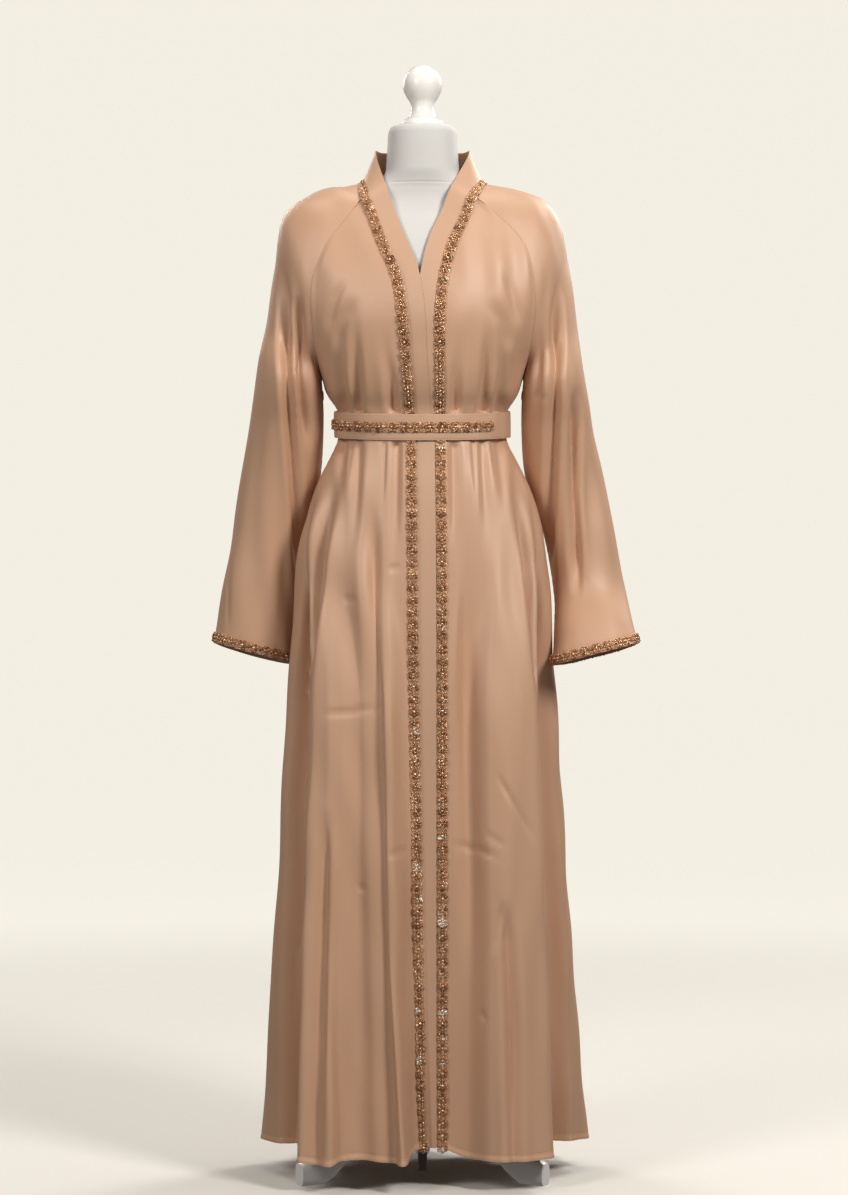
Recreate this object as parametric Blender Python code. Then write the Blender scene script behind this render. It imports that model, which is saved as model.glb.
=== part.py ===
"""Open abaya cloak worn by a limbless dress form on a three-legged stand.

The cloth is a thin wall cut in the garment's own pieces: two fronts and a back that run from shoulder to hem,
raglan sleeves, a neck band in two halves that laps at the front, a belt, and the beaded trims sewn on them.
Every piece is worked out from the body rings, fold lines and seams named below. Metres, +Z up, front at -Y,
and the wearer's left at +X. The feet stand on z = 0.
"""
import math

import bpy
import numpy as np

# Cloth and sewing
WALL = 0.0012
SEAM_GAP = 0.0003
TRIM_WIDTH = 0.016
TRIM_THICK = 0.0015
LAP_STEP = WALL + SEAM_GAP
SHARP_DEGREES = 50

# The model's box is centred on the origin by this shift of the garment's own midline
MIDLINE_X = -0.0027
MIDLINE_Y = -0.007

# Heights of the garment
HEM_Z = 0.046
MID_Z = 0.70
SHIN_Z = 0.37
HIP_Z = 0.90
HIGH_HIP_Z = 0.99
BELT_LOW_Z = 1.0735
BELT_HIGH_Z = 1.1115
UNDERARM_Z = 1.165
NECK_STATION_Z = 1.432

# Body rings of the cloth: half width, depth in front and behind, and squareness of the oval
RINGS = [
    dict(z=0.70, half_width=0.176, front=0.134, back=0.132, square=2.1),
    dict(z=0.90, half_width=0.179, front=0.120, back=0.124, square=2.1),
    dict(z=0.99, half_width=0.1635, front=0.111, back=0.114, square=2.1),
    dict(z=1.040, half_width=0.147, front=0.104, back=0.106, square=2.1),
    dict(z=1.0735, half_width=0.1255, front=0.098, back=0.098, square=2.1),
    dict(z=1.123, half_width=0.1255, front=0.098, back=0.098, square=2.1),
    dict(z=1.143, half_width=0.139, front=0.107, back=0.105, square=2.1),
    dict(z=1.173, half_width=0.1495, front=0.116, back=0.110, square=2.15),
    dict(z=1.210, half_width=0.168, front=0.121, back=0.113, square=2.2),
    dict(z=1.257, half_width=0.190, front=0.124, back=0.115, square=2.2),
    dict(z=1.310, half_width=0.205, front=0.114, back=0.116, square=2.2),
    dict(z=1.360, half_width=0.212, front=0.095, back=0.108, square=2.2),
    dict(z=1.400, half_width=0.212, front=0.074, back=0.090, square=2.2),
    dict(z=1.432, half_width=0.190, front=0.056, back=0.074, square=2.2),
    dict(z=1.475, half_width=0.150, front=0.040, back=0.066, square=2.2),
]

# Band seams: where each front is sewn to the neck band, and where the lapped band's free edge lies
BAND_SEAMS = [
    dict(z=0.046, right=0.0010, left=0.0290, lap_edge=0.0205),
    dict(z=0.202, right=-0.0036, left=0.0285, lap_edge=0.0200),
    dict(z=0.731, right=-0.0128, left=0.0285, lap_edge=0.0200),
    dict(z=1.074, right=-0.0166, left=0.0262, lap_edge=0.0177),
    dict(z=1.124, right=-0.0195, left=0.0250, lap_edge=0.0110),
    dict(z=1.231, right=-0.0276, left=0.0245, lap_edge=0.0045),
    dict(z=1.286, right=-0.0324, left=0.0268, lap_edge=0.0015),
    dict(z=1.312, right=-0.0388, left=0.0310, lap_edge=-0.0030),
    dict(z=1.348, right=-0.0540, left=0.0395, lap_edge=-0.0200),
    dict(z=1.390, right=-0.0693, left=0.0575, lap_edge=-0.0355),
    dict(z=1.432, right=-0.0845, left=0.0735, lap_edge=-0.0520),
]
# The band's width across and its rise from seam to free edge, which stands up towards the neck
BAND_RISE = [
    dict(z=1.24, across=0.031, up=0.000),
    dict(z=1.286, across=0.032, up=0.003),
    dict(z=1.312, across=0.033, up=0.008),
    dict(z=1.348, across=0.033, up=0.012),
    dict(z=1.390, across=0.032, up=0.013),
    dict(z=1.432, across=0.031, up=0.016),
]
LAP_FROM = 0.0088
LAP_FULL = 0.0125
LAP_TOP_Z = 1.30
UNDERLAP_FADE = 0.06
# The lapped band lies one cloth and one gap further out, and comes back to its seam between these heights
RAISE_TOP_Z = 1.36
RAISE_FADE = 0.05
TRIM_GAP = 0.0009

# Raglan seams, from underarm to neck, as distance from the midline on each side
RAGLAN = [
    dict(z=1.165, right=0.1478, left=0.1478),
    dict(z=1.210, right=0.1560, left=0.1565),
    dict(z=1.257, right=0.1616, left=0.1638),
    dict(z=1.310, right=0.1595, left=0.1610),
    dict(z=1.360, right=0.1390, left=0.1480),
    dict(z=1.400, right=0.1090, left=0.1120),
    dict(z=1.432, right=0.0859, left=0.0749),
]

# Neck seam and top edge of the band, behind the front raglan end and round to the middle of the back
NECK = [
    dict(name="side", place=0.33, seam=(0.0890, 0.000, 1.4555), edge=(0.0695, 0.004, 1.5020)),
    dict(name="rear", place=0.62, seam=(0.0760, 0.052, 1.4520), edge=(0.0575, 0.042, 1.5060)),
    dict(name="rear_quarter", place=0.81, seam=(0.0450, 0.078, 1.4560), edge=(0.0330, 0.061, 1.5090)),
    dict(name="centre_back", place=1.00, seam=(0.0000, 0.086, 1.4600), edge=(0.0000, 0.068, 1.5110)),
]
# Place along the neck seam where the rear raglan seam meets it
REAR_PLACE = 0.62

# Fold lines of the skirt: how far round each front they start, and their place at three heights
FRONT_RIGHT_FOLDS = [
    dict(name="band_seam", at=0.00, hem_z=0.0580,
         mid=(-0.0128, -0.131), shin=(-0.0070, -0.134), hem=(0.0010, -0.128)),
    dict(name="trim_edge", at=0.07, hem_z=0.0560,
         mid=(-0.0225, -0.132), shin=(-0.0167, -0.137), hem=(-0.0088, -0.134)),
    dict(name="tall_ridge", at=0.24, hem_z=0.0415,
         mid=(-0.0580, -0.151), shin=(-0.0505, -0.172), hem=(-0.0290, -0.191)),
    dict(name="wide_hollow", at=0.42, hem_z=0.0460,
         mid=(-0.0870, -0.127), shin=(-0.0860, -0.143), hem=(-0.0833, -0.158)),
    dict(name="pleat_inner", at=0.55, hem_z=0.0460,
         mid=(-0.1180, -0.128), shin=(-0.1190, -0.145), hem=(-0.1150, -0.168)),
    dict(name="pleat_edge", at=0.64, hem_z=0.0400,
         mid=(-0.1380, -0.124), shin=(-0.1390, -0.148), hem=(-0.1330, -0.186)),
    dict(name="front_corner", at=0.75, hem_z=0.0440,
         mid=(-0.1590, -0.104), shin=(-0.1680, -0.134), hem=(-0.1755, -0.164)),
    dict(name="side_hollow", at=0.85, hem_z=0.0455,
         mid=(-0.1430, -0.044), shin=(-0.1520, -0.048), hem=(-0.1620, -0.050)),
    dict(name="lobe_front", at=0.91, hem_z=0.0455,
         mid=(-0.1790, -0.026), shin=(-0.1900, -0.020), hem=(-0.2050, -0.012)),
    dict(name="side_lobe", at=0.96, hem_z=0.0460,
         mid=(-0.1985, 0.004), shin=(-0.2180, 0.022), hem=(-0.2394, 0.042)),
    dict(name="side_seam", at=1.00, hem_z=0.0460,
         mid=(-0.1780, 0.042), shin=(-0.2020, 0.068), hem=(-0.2240, 0.090)),
]
FRONT_LEFT_FOLDS = [
    dict(name="band_seam", at=0.00, hem_z=0.0580,
         mid=(0.0285, -0.131), shin=(0.0285, -0.134), hem=(0.0290, -0.128)),
    dict(name="trim_edge", at=0.08, hem_z=0.0540,
         mid=(0.0385, -0.130), shin=(0.0385, -0.133), hem=(0.0390, -0.129)),
    dict(name="soft_trough", at=0.20, hem_z=0.0460,
         mid=(0.0622, -0.122), shin=(0.0640, -0.134), hem=(0.0640, -0.138)),
    dict(name="front_swell", at=0.38, hem_z=0.0450,
         mid=(0.0980, -0.139), shin=(0.0990, -0.158), hem=(0.0986, -0.170)),
    dict(name="front_plain", at=0.54, hem_z=0.0450,
         mid=(0.1290, -0.134), shin=(0.1310, -0.156), hem=(0.1360, -0.174)),
    dict(name="front_corner", at=0.70, hem_z=0.0470,
         mid=(0.1660, -0.104), shin=(0.1755, -0.122), hem=(0.1870, -0.140)),
    dict(name="side_hollow", at=0.80, hem_z=0.0475,
         mid=(0.1480, -0.044), shin=(0.1590, -0.046), hem=(0.1720, -0.045)),
    dict(name="small_ridge", at=0.87, hem_z=0.0480,
         mid=(0.1780, -0.020), shin=(0.1930, -0.012), hem=(0.2140, -0.002)),
    dict(name="side_lobe", at=0.95, hem_z=0.0465,
         mid=(0.1955, 0.020), shin=(0.2180, 0.028), hem=(0.2451, 0.038)),
    dict(name="side_seam", at=1.00, hem_z=0.0460,
         mid=(0.1800, 0.050), shin=(0.2050, 0.068), hem=(0.2300, 0.088)),
]
# The hidden back hangs in soft flutes: angle from the front, and reach at mid height and at the hem
BACK_FLUTES = [
    dict(name="flute_1", angle=116, mid=0.188, hem=0.252),
    dict(name="hollow_1", angle=131, mid=0.152, hem=0.188),
    dict(name="flute_2", angle=146, mid=0.164, hem=0.236),
    dict(name="hollow_2", angle=163, mid=0.130, hem=0.170),
    dict(name="flute_3", angle=180, mid=0.152, hem=0.2045),
    dict(name="hollow_3", angle=197, mid=0.131, hem=0.168),
    dict(name="flute_4", angle=213, mid=0.160, hem=0.232),
    dict(name="hollow_4", angle=229, mid=0.150, hem=0.186),
    dict(name="flute_5", angle=243, mid=0.186, hem=0.248),
]
HIP_SHARE = 0.25
HEM_LIFT_TOP_Z = 0.25

# Heights at which the fronts and the back are sectioned
SKIRT_ROWS = (0.046, 0.14, 0.25, 0.37, 0.49, 0.60, 0.70, 0.79, 0.88, 0.955, 1.010, 1.050, 1.0735)
WAIST_ROWS = (1.1235, 1.143)
RAGLAN_ROWS = tuple(row["z"] for row in RAGLAN)

# Sleeve sections below the shoulder: outer edge and inner edge, half depth, and how far back the section lies
SLEEVE_TOP = [
    dict(outer_z=1.4490, right=0.1370, left=0.1330, back=0.006, reach=70),
    dict(outer_z=1.4335, right=0.1780, left=0.1740, back=0.006, reach=70),
    dict(outer_z=1.4090, right=0.2040, left=0.1975, back=0.006, reach=72),
    dict(outer_z=1.3300, right=0.2172, left=0.2155, back=0.006, reach=84),
    dict(outer_z=1.2450, right=0.2317, left=0.2285, back=0.006, reach=105),
]
SLEEVE_TUBE = [
    dict(outer_z=1.165, inner_z=1.165, depth=0.062,
         right=dict(inner=0.1482, outer=0.2453, back=0.004),
         left=dict(inner=0.1482, outer=0.2400, back=0.004)),
    dict(outer_z=1.095, inner_z=1.100, depth=0.059,
         right=dict(inner=0.1460, outer=0.2572, back=0.022),
         left=dict(inner=0.1460, outer=0.2530, back=0.022)),
    dict(outer_z=1.030, inner_z=1.030, depth=0.055,
         right=dict(inner=0.1510, outer=0.2680, back=0.036),
         left=dict(inner=0.1525, outer=0.2680, back=0.034)),
    dict(outer_z=0.955, inner_z=0.950, depth=0.051,
         right=dict(inner=0.1730, outer=0.2805, back=0.046),
         left=dict(inner=0.1785, outer=0.2830, back=0.036)),
    dict(outer_z=0.870, inner_z=0.858, depth=0.048,
         right=dict(inner=0.1810, outer=0.2947, back=0.050),
         left=dict(inner=0.1930, outer=0.2980, back=0.030)),
    dict(outer_z=0.812, inner_z=0.790, depth=0.046,
         right=dict(inner=0.1865, outer=0.3040, back=0.050),
         left=dict(inner=0.1935, outer=0.3080, back=-0.008)),
    dict(outer_z=0.781, inner_z=0.749, depth=0.044,
         right=dict(inner=0.1890, outer=0.3100, back=0.048),
         left=dict(inner=0.1890, outer=0.3155, back=-0.028)),
]
SLEEVE_COLUMNS = 24
# Share of the way round on each side of the underarm seam over which the upper sleeve stays plain
SLEEVE_PLAIN = 0.4
CUFF_BACK_DROP = 0.007
CUFF_TRIM_HEIGHT = 0.016
CUFF_TRIM_LOW = 0.0004

# Gathers at the belt and long folds of the sleeves: their way over the cloth as seen from the front or back.
# Each is a hollow with raised sides, and fades towards its end over the share named tail.
GATHER = dict(width=0.0070, head=0.02, tail=0.85)
LONG_FOLD = dict(width=0.0110, head=0.30, tail=0.40, depth=0.0075)
FOLDS = [
    dict(GATHER, piece="front_right", facing="front", depth=0.0055,
         path=[(-0.1140, 1.0800), (-0.1230, 0.9700)]),
    dict(GATHER, piece="front_right", facing="front", depth=0.0055,
         path=[(-0.0930, 1.0760), (-0.0980, 0.9000)]),
    dict(GATHER, piece="front_right", facing="front", depth=0.0042,
         path=[(-0.0375, 1.0730), (-0.0400, 0.8500)]),
    dict(GATHER, piece="front_left", facing="front", depth=0.0060,
         path=[(0.0455, 1.0730), (0.0460, 0.8800)]),
    dict(GATHER, piece="front_left", facing="front", depth=0.0050,
         path=[(0.0870, 1.0760), (0.0920, 0.9200)]),
    dict(GATHER, piece="front_left", facing="front", depth=0.0055,
         path=[(0.1110, 1.0800), (0.1200, 0.9500)]),
    dict(GATHER, piece="front_right", facing="front", depth=0.0055,
         path=[(-0.1140, 1.1120), (-0.1260, 1.2200)]),
    dict(GATHER, piece="front_right", facing="front", depth=0.0055,
         path=[(-0.0930, 1.1120), (-0.0980, 1.2400)]),
    dict(GATHER, piece="front_right", facing="front", depth=0.0050,
         path=[(-0.0420, 1.1120), (-0.0450, 1.2000)]),
    dict(GATHER, piece="front_left", facing="front", depth=0.0045,
         path=[(0.0470, 1.1120), (0.0480, 1.2100)]),
    dict(GATHER, piece="front_left", facing="front", depth=0.0055,
         path=[(0.0900, 1.1120), (0.0960, 1.2500)]),
    dict(GATHER, piece="front_left", facing="front", depth=0.0055,
         path=[(0.1110, 1.1120), (0.1240, 1.2400)]),
    dict(LONG_FOLD, piece="sleeve_right", facing="front",
         path=[(-0.2039, 1.2820), (-0.1950, 1.1300), (-0.1850, 0.9895), (-0.1810, 0.8600)]),
    dict(LONG_FOLD, piece="sleeve_left", facing="front",
         path=[(0.1960, 1.2800), (0.1930, 1.1500), (0.1873, 0.9895), (0.1830, 0.8900)]),
    dict(LONG_FOLD, piece="sleeve_right", facing="back",
         path=[(-0.2050, 1.2800), (-0.2000, 1.0600), (-0.2080, 0.8400)]),
    dict(LONG_FOLD, piece="sleeve_left", facing="back",
         path=[(0.2050, 1.2800), (0.2020, 1.0600), (0.2120, 0.8400)]),
]
# The back is gathered at these distances from its middle, below and above the belt
BACK_GATHERS = (-0.109, -0.083, -0.056, -0.029, 0.000, 0.029, 0.056, 0.083, 0.109)
BACK_GATHER_DEPTH = 0.0055
BACK_GATHER_LOW = (1.0870, 0.9400)
BACK_GATHER_HIGH = (1.1260, 1.2200)
# Share of the way round from a gather's hollow to its sides, and the least and most between two columns
GATHER_STEP = 0.045
LEAST_STEP = 0.022
MOST_STEP = 0.095
# The cloth is plain this near a seam, and has its full folds this much further on
SEAM_PLAIN = 0.0145
SEAM_FADE = 0.006

# Belt
BELT_OFFSET = TRIM_GAP + TRIM_THICK + SEAM_GAP
BELT_COLUMNS = 44
# The belt sits higher at the sides and back than in front
BELT_RISE_RATE = 0.0184
BELT_BACK_RISE = 0.0138
BELT_TRIM_HALF_HEIGHT = 0.008
BELT_TRIM_FROM = 47.0
BELT_TRIM_TO = -150.0

# Dress form and stand
FORM_RINGS = [
    dict(z=0.800, half_width=0.128, front=0.088, back=0.092),
    dict(z=0.812, half_width=0.136, front=0.094, back=0.098),
    dict(z=0.900, half_width=0.150, front=0.100, back=0.106),
    dict(z=0.990, half_width=0.137, front=0.090, back=0.096),
    dict(z=1.098, half_width=0.107, front=0.078, back=0.080),
    dict(z=1.165, half_width=0.127, front=0.094, back=0.092),
    dict(z=1.240, half_width=0.150, front=0.113, back=0.102),
    dict(z=1.310, half_width=0.157, front=0.104, back=0.105),
    dict(z=1.360, half_width=0.163, front=0.087, back=0.098),
    dict(z=1.395, half_width=0.170, front=0.068, back=0.082),
    dict(z=1.418, half_width=0.162, front=0.050, back=0.062),
    dict(z=1.434, half_width=0.132, front=0.043, back=0.056),
    dict(z=1.446, half_width=0.096, front=0.043, back=0.056),
    dict(z=1.458, half_width=0.066, front=0.046, back=0.058),
    dict(z=1.475, half_width=0.054, front=0.050, back=0.056),
    dict(z=1.505, half_width=0.052, front=0.050, back=0.054),
    dict(z=1.528, half_width=0.0505, front=0.0490, back=0.0525),
    dict(z=1.536, half_width=0.0480, front=0.0465, back=0.0500),
    dict(z=1.539, half_width=0.0440, front=0.0425, back=0.0460),
]
FORM_COLUMNS = 28
FORM_POWER = 0.92
FINIAL_PROFILE = [
    dict(z=1.5393, radius=0.0300),
    dict(z=1.5430, radius=0.0316),
    dict(z=1.5475, radius=0.0290),
    dict(z=1.5530, radius=0.0215),
    dict(z=1.5640, radius=0.0170),
    dict(z=1.5740, radius=0.0180),
    dict(z=1.5830, radius=0.0235),
    dict(z=1.5930, radius=0.0280),
    dict(z=1.6020, radius=0.0290),
    dict(z=1.6130, radius=0.0262),
    dict(z=1.6225, radius=0.0190),
    dict(z=1.6285, radius=0.0090),
]
FINIAL_TOP_Z = 1.6300
FINIAL_TOP_RADIUS = 0.002
FINIAL_SIDES = 20
POLE_RADIUS = 0.0125
POLE_SIDES = 16
HUB_RADIUS = 0.030
HUB_SIDES = 24
HUB_LOW_Z = 0.150
HUB_HIGH_Z = 0.285
TIP_RADIUS = 0.0068
TIP_SIDES = 12
TIP_LOW_Z = 0.004
LEG_WIDTH = 0.024
LEG_REACH = 0.2050
LEG_ANGLES = dict(leg_right=-60.0, leg_left=60.0, leg_rear=180.0)
# Side profile of a leg, as pairs of upper and lower edge on its way out from the hub
LEG_PROFILE = [
    dict(upper=(0.000, 0.275), lower=(0.000, 0.165)),
    dict(upper=(0.030, 0.250), lower=(0.024, 0.150)),
    dict(upper=(0.062, 0.195), lower=(0.050, 0.105)),
    dict(upper=(0.092, 0.130), lower=(0.078, 0.058)),
    dict(upper=(0.120, 0.078), lower=(0.106, 0.022)),
    dict(upper=(0.146, 0.048), lower=(0.130, 0.003)),
    dict(upper=(0.163, 0.038), lower=(0.142, 0.000)),
    dict(upper=(1.000, 0.031), lower=(1.000, 0.000)),
]


def monotone(xs, ys, x):
    """Smooth curve through a table, with no overshoot between its rows."""
    xs = np.asarray(xs, float)
    ys = np.asarray(ys, float)
    x = np.clip(np.asarray(x, float), xs[0], xs[-1])
    step = np.diff(xs)
    slope = np.diff(ys, axis=0) / step.reshape((-1,) + (1,) * (ys.ndim - 1))
    tangent = np.zeros_like(ys)
    tangent[0] = slope[0]
    tangent[-1] = slope[-1]
    same = slope[:-1] * slope[1:] > 0
    total = np.where(same, slope[:-1] + slope[1:], 1.0)
    tangent[1:-1] = np.where(same, 2 * slope[:-1] * slope[1:] / total, 0.0)
    i = np.clip(np.searchsorted(xs, x, side="right") - 1, 0, len(xs) - 2)
    h = step[i]
    t = (x - xs[i]) / h
    shape = t.shape + (1,) * (ys.ndim - 1)
    t = t.reshape(shape)
    h = h.reshape(shape)
    a = (2 * t**3 - 3 * t**2 + 1) * ys[i]
    b = (t**3 - 2 * t**2 + t) * h * tangent[i]
    c = (-2 * t**3 + 3 * t**2) * ys[i + 1]
    d = (t**3 - t**2) * h * tangent[i + 1]
    return a + b + c + d


def column(table, name):
    return [row[name] for row in table]


def ring_sizes(z):
    """Half width, front depth, back depth and squareness of the cloth's oval at a height."""
    heights = column(RINGS, "z")
    names = ("half_width", "front", "back", "square")
    return tuple(monotone(heights, column(RINGS, name), z) for name in names)


def on_ring(z, turn):
    """Point of the cloth's oval, turned in radians from the front towards the wearer's left."""
    half_width, front, back, square = ring_sizes(z)
    s = np.sin(turn)
    c = np.cos(turn)
    power = 2.0 / square
    x = half_width * np.sign(s) * np.abs(s) ** power
    y = -np.sign(c) * np.where(c > 0, front, back) * np.abs(c) ** power
    return np.stack([x + 0 * y, y + 0 * x], axis=-1)


def turn_at(z, x, behind=False):
    """Turn of the oval's point that lies this far from the midline."""
    half_width, _, _, square = ring_sizes(z)
    share = np.clip(np.abs(x) / half_width, 0, 1) ** (square / 2.0)
    turn = np.sign(x) * np.arcsin(share)
    return np.sign(x) * math.pi - turn if behind else turn


def band_seam(side, z):
    return monotone(column(BAND_SEAMS, "z"), column(BAND_SEAMS, side), z)


def raglan(side, z):
    sign = -1 if side == "right" else 1
    return sign * monotone(column(RAGLAN, "z"), column(RAGLAN, side), z)


def fold_lines(side):
    """Place of each fold line at six levels from hem to belt, and its share of the way round."""
    if side == "back":
        start = FRONT_LEFT_FOLDS[-1]
        end = FRONT_RIGHT_FOLDS[-1]
        share = [0.0]
        mid = [start["mid"]]
        shin = [start["shin"]]
        hem = [start["hem"]]
        for flute in BACK_FLUTES:
            angle = math.radians(flute["angle"])
            direction = np.array([math.sin(angle), -math.cos(angle)])
            share.append((flute["angle"] - 90) / 180)
            mid.append(direction * flute["mid"])
            shin.append(direction * (flute["mid"] + flute["hem"]) / 2)
            hem.append(direction * flute["hem"])
        share.append(1.0)
        mid.append(end["mid"])
        shin.append(end["shin"])
        hem.append(end["hem"])
        turns = math.pi / 2 + np.array(share) * math.pi
    else:
        table = FRONT_RIGHT_FOLDS if side == "right" else FRONT_LEFT_FOLDS
        sign = -1 if side == "right" else 1
        share = column(table, "at")
        mid = column(table, "mid")
        shin = column(table, "shin")
        hem = column(table, "hem")
        first = turn_at(BELT_LOW_Z, band_seam(side, BELT_LOW_Z))
        turns = first + np.array(share) * (sign * math.pi / 2 - first)
    mid = np.array(mid, float)
    shin = np.array(shin, float)
    hem = np.array(hem, float)
    belt = on_ring(BELT_LOW_Z, turns)
    high = on_ring(HIGH_HIP_Z, turns)
    hip = on_ring(HIP_Z, turns) + HIP_SHARE * (mid - on_ring(MID_Z, turns))
    levels = np.array([HEM_Z, SHIN_Z, MID_Z, HIP_Z, HIGH_HIP_Z, BELT_LOW_Z])
    places = np.stack([hem, shin, mid, hip, high, belt])
    return np.array(share), turns, levels, places


def hem_lift(side, at):
    """Height of the hem above its lowest level, from fold line to fold line."""
    if side == "back":
        return np.zeros(len(at))
    table = FRONT_RIGHT_FOLDS if side == "right" else FRONT_LEFT_FOLDS
    return monotone(column(table, "at"), np.array(column(table, "hem_z")) - HEM_Z, at)


def skirt_section(side, z, at):
    """Points of a skirt section, with its folds grown from the plain oval of the belt."""
    shares, turns, levels, places = fold_lines(side)
    now = monotone(levels, places, np.array([z]))[0]
    base = on_ring(BELT_LOW_Z, turns)
    turn = np.interp(at, shares, turns)
    xy = on_ring(BELT_LOW_Z, turn) + monotone(shares, now - base, at)
    if side != "back":
        seam_x = band_seam(side, z)
        xy[:, 0] += (seam_x - xy[0, 0]) * np.clip(1 - at / shares[1], 0, 1) ** 2
    fade = np.clip((HEM_LIFT_TOP_Z - z) / (HEM_LIFT_TOP_Z - HEM_Z), 0, 1)
    return np.column_stack([xy, z + hem_lift(side, at) * fade])


def upper_section(side, z, at):
    """Points of a section above the belt, from the band seam to the side or raglan seam."""
    if side == "back":
        if z > UNDERARM_Z:
            first = float(turn_at(z, raglan("left", z), behind=True))
            last = 2 * math.pi + float(turn_at(z, raglan("right", z), behind=True))
        else:
            first = math.pi / 2
            last = 3 * math.pi / 2
    else:
        sign = -1 if side == "right" else 1
        first = float(turn_at(z, band_seam(side, z)))
        last = float(turn_at(z, raglan(side, z))) if z > UNDERARM_Z else sign * math.pi / 2
    turn = first + at * (last - first)
    xy = on_ring(z, turn)
    return np.column_stack([xy, np.full(len(at), z)])


def neck_curve(side, which):
    """Smooth neck seam or band edge of one side, from 0 at the front raglan end to 1 at centre back."""
    sign = -1 if side == "right" else 1
    z = NECK_STATION_Z
    x = band_seam(side, z)
    if which == "seam":
        first = np.append(on_ring(z, turn_at(z, x)), z)
    else:
        first = band_edge(side, np.array([z]))[0]
    rest = np.array(column(NECK, which), float)
    rest[:, 0] *= sign
    points = np.vstack([first, rest])
    places = np.array([0.0] + column(NECK, "place"))
    return lambda t: smooth_path(places, points, t)


def smooth_path(places, points, at):
    """Rounded path through points, with tangents from their neighbours."""
    tangent = np.gradient(points, places, axis=0)
    tangent[-1] = tangent[-1] * np.array([1.0, 0.0, 0.3])
    at = np.clip(at, places[0], places[-1])
    i = np.clip(np.searchsorted(places, at, side="right") - 1, 0, len(places) - 2)
    h = (places[i + 1] - places[i])[:, None]
    t = ((at - places[i]) / h[:, 0])[:, None]
    a = (2 * t**3 - 3 * t**2 + 1) * points[i]
    b = (t**3 - 2 * t**2 + t) * h * tangent[i]
    c = (-2 * t**3 + 3 * t**2) * points[i + 1]
    d = (t**3 - t**2) * h * tangent[i + 1]
    return a + b + c + d


def front_depth(x, z, row_z):
    """Depth of the cloth's middle at a place between the band seams."""
    if row_z < BELT_LOW_Z:
        return skirt_front_y(x, row_z)
    return on_ring(z, turn_at(z, x))[1]


def band_edge(side, z):
    """Free edge of a band half at each seam height."""
    heights = column(BAND_RISE, "z")
    across = monotone(heights, column(BAND_RISE, "across"), z)
    up = monotone(heights, column(BAND_RISE, "up"), z)
    seam = band_seam(side, z)
    if side == "right":
        lap = monotone(column(BAND_SEAMS, "z"), column(BAND_SEAMS, "lap_edge"), z)
        x = np.where(z < LAP_TOP_Z, lap, seam + across)
    else:
        hidden = np.clip((LAP_TOP_Z - z) / UNDERLAP_FADE, 0, 1)
        under = band_seam("right", z) + LAP_FULL + 2 * LAP_STEP
        x = (seam - across) * (1 - hidden) + under * hidden
    height = z + up
    points = []
    for xi, zi, oi in zip(x, height, z):
        points.append((xi, front_depth(xi, zi, oi), zi))
    return np.array(points)


def skirt_front_y(x, z):
    """Depth of the skirt's middle, which runs level from one band seam to the other."""
    right = skirt_section("right", z, np.array([0.0]))[0]
    left = skirt_section("left", z, np.array([0.0]))[0]
    share = (x - right[0]) / (left[0] - right[0])
    return right[1] + share * (left[1] - right[1])


def gather_places(side):
    """Shares of the way round at which a panel's gathers leave the belt."""
    if side == "back":
        turns = np.array([turn_at(BELT_LOW_Z, x, behind=True) for x in BACK_GATHERS if x != 0] + [math.pi])
        return np.sort((turns % (2 * math.pi)) / math.pi - 0.5)
    sign = -1 if side == "right" else 1
    first = turn_at(BELT_LOW_Z, band_seam(side, BELT_LOW_Z))
    rows = folds_of("front_" + side)
    starts = {row["path"][0][0] for row in rows if row["path"][0][1] < BELT_HIGH_Z}
    turns = np.array([turn_at(BELT_LOW_Z, x) for x in starts])
    return np.sort((turns - first) / (sign * math.pi / 2 - first))


def build_columns(side):
    """Shares of the way round at which a panel is sectioned: its fold lines, gathers and steps between."""
    columns = list(fold_lines(side)[0])
    gathers = gather_places(side)
    sides = []
    if side != "back":
        sides = [place + step for place in gathers for step in (-GATHER_STEP, GATHER_STEP)]
    for place in list(gathers) + sides:
        if min(abs(place - other) for other in columns) > LEAST_STEP:
            columns.append(place)
    columns = sorted(columns)
    result = []
    for a, b in zip(columns[:-1], columns[1:]):
        parts = max(1, math.ceil((b - a) / MOST_STEP))
        result += [a + (b - a) * i / parts for i in range(parts)]
    return np.array(result + [1.0])


def smooth(t):
    t = np.clip(t, 0, 1)
    return t * t * (3 - 2 * t)


def lengths(grid, axis):
    """Distance along a grid's rows or columns from their first point."""
    step = np.linalg.norm(np.diff(grid, axis=axis), axis=2)
    pad = [(0, 0), (0, 0)]
    pad[axis] = (1, 0)
    return np.pad(np.cumsum(step, axis=axis), pad)


def fold_depth(x, z, fold):
    """How far one fold draws the cloth in along its way: a hollow with raised sides, faded to its ends."""
    path = np.array(fold["path"], float)
    ends = np.concatenate([[0.0], np.cumsum(np.linalg.norm(np.diff(path, axis=0), axis=1))])
    nearest = np.full(x.shape, np.inf)
    place = np.zeros(x.shape)
    for a, b, start, stop in zip(path[:-1], path[1:], ends[:-1], ends[1:]):
        way = (b - a) / (stop - start)
        run = np.clip((x - a[0]) * way[0] + (z - a[1]) * way[1], 0, stop - start)
        off = np.hypot(x - a[0] - run * way[0], z - a[1] - run * way[1])
        closer = off < nearest
        nearest = np.where(closer, off, nearest)
        place = np.where(closer, (start + run) / ends[-1], place)
    u = nearest / fold["width"]
    profile = (1 - 0.55 * u * u) * np.exp(-0.5 * u * u)
    return fold["depth"] * profile * smooth(place / fold["head"]) * smooth((1 - place) / fold["tail"])


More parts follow.
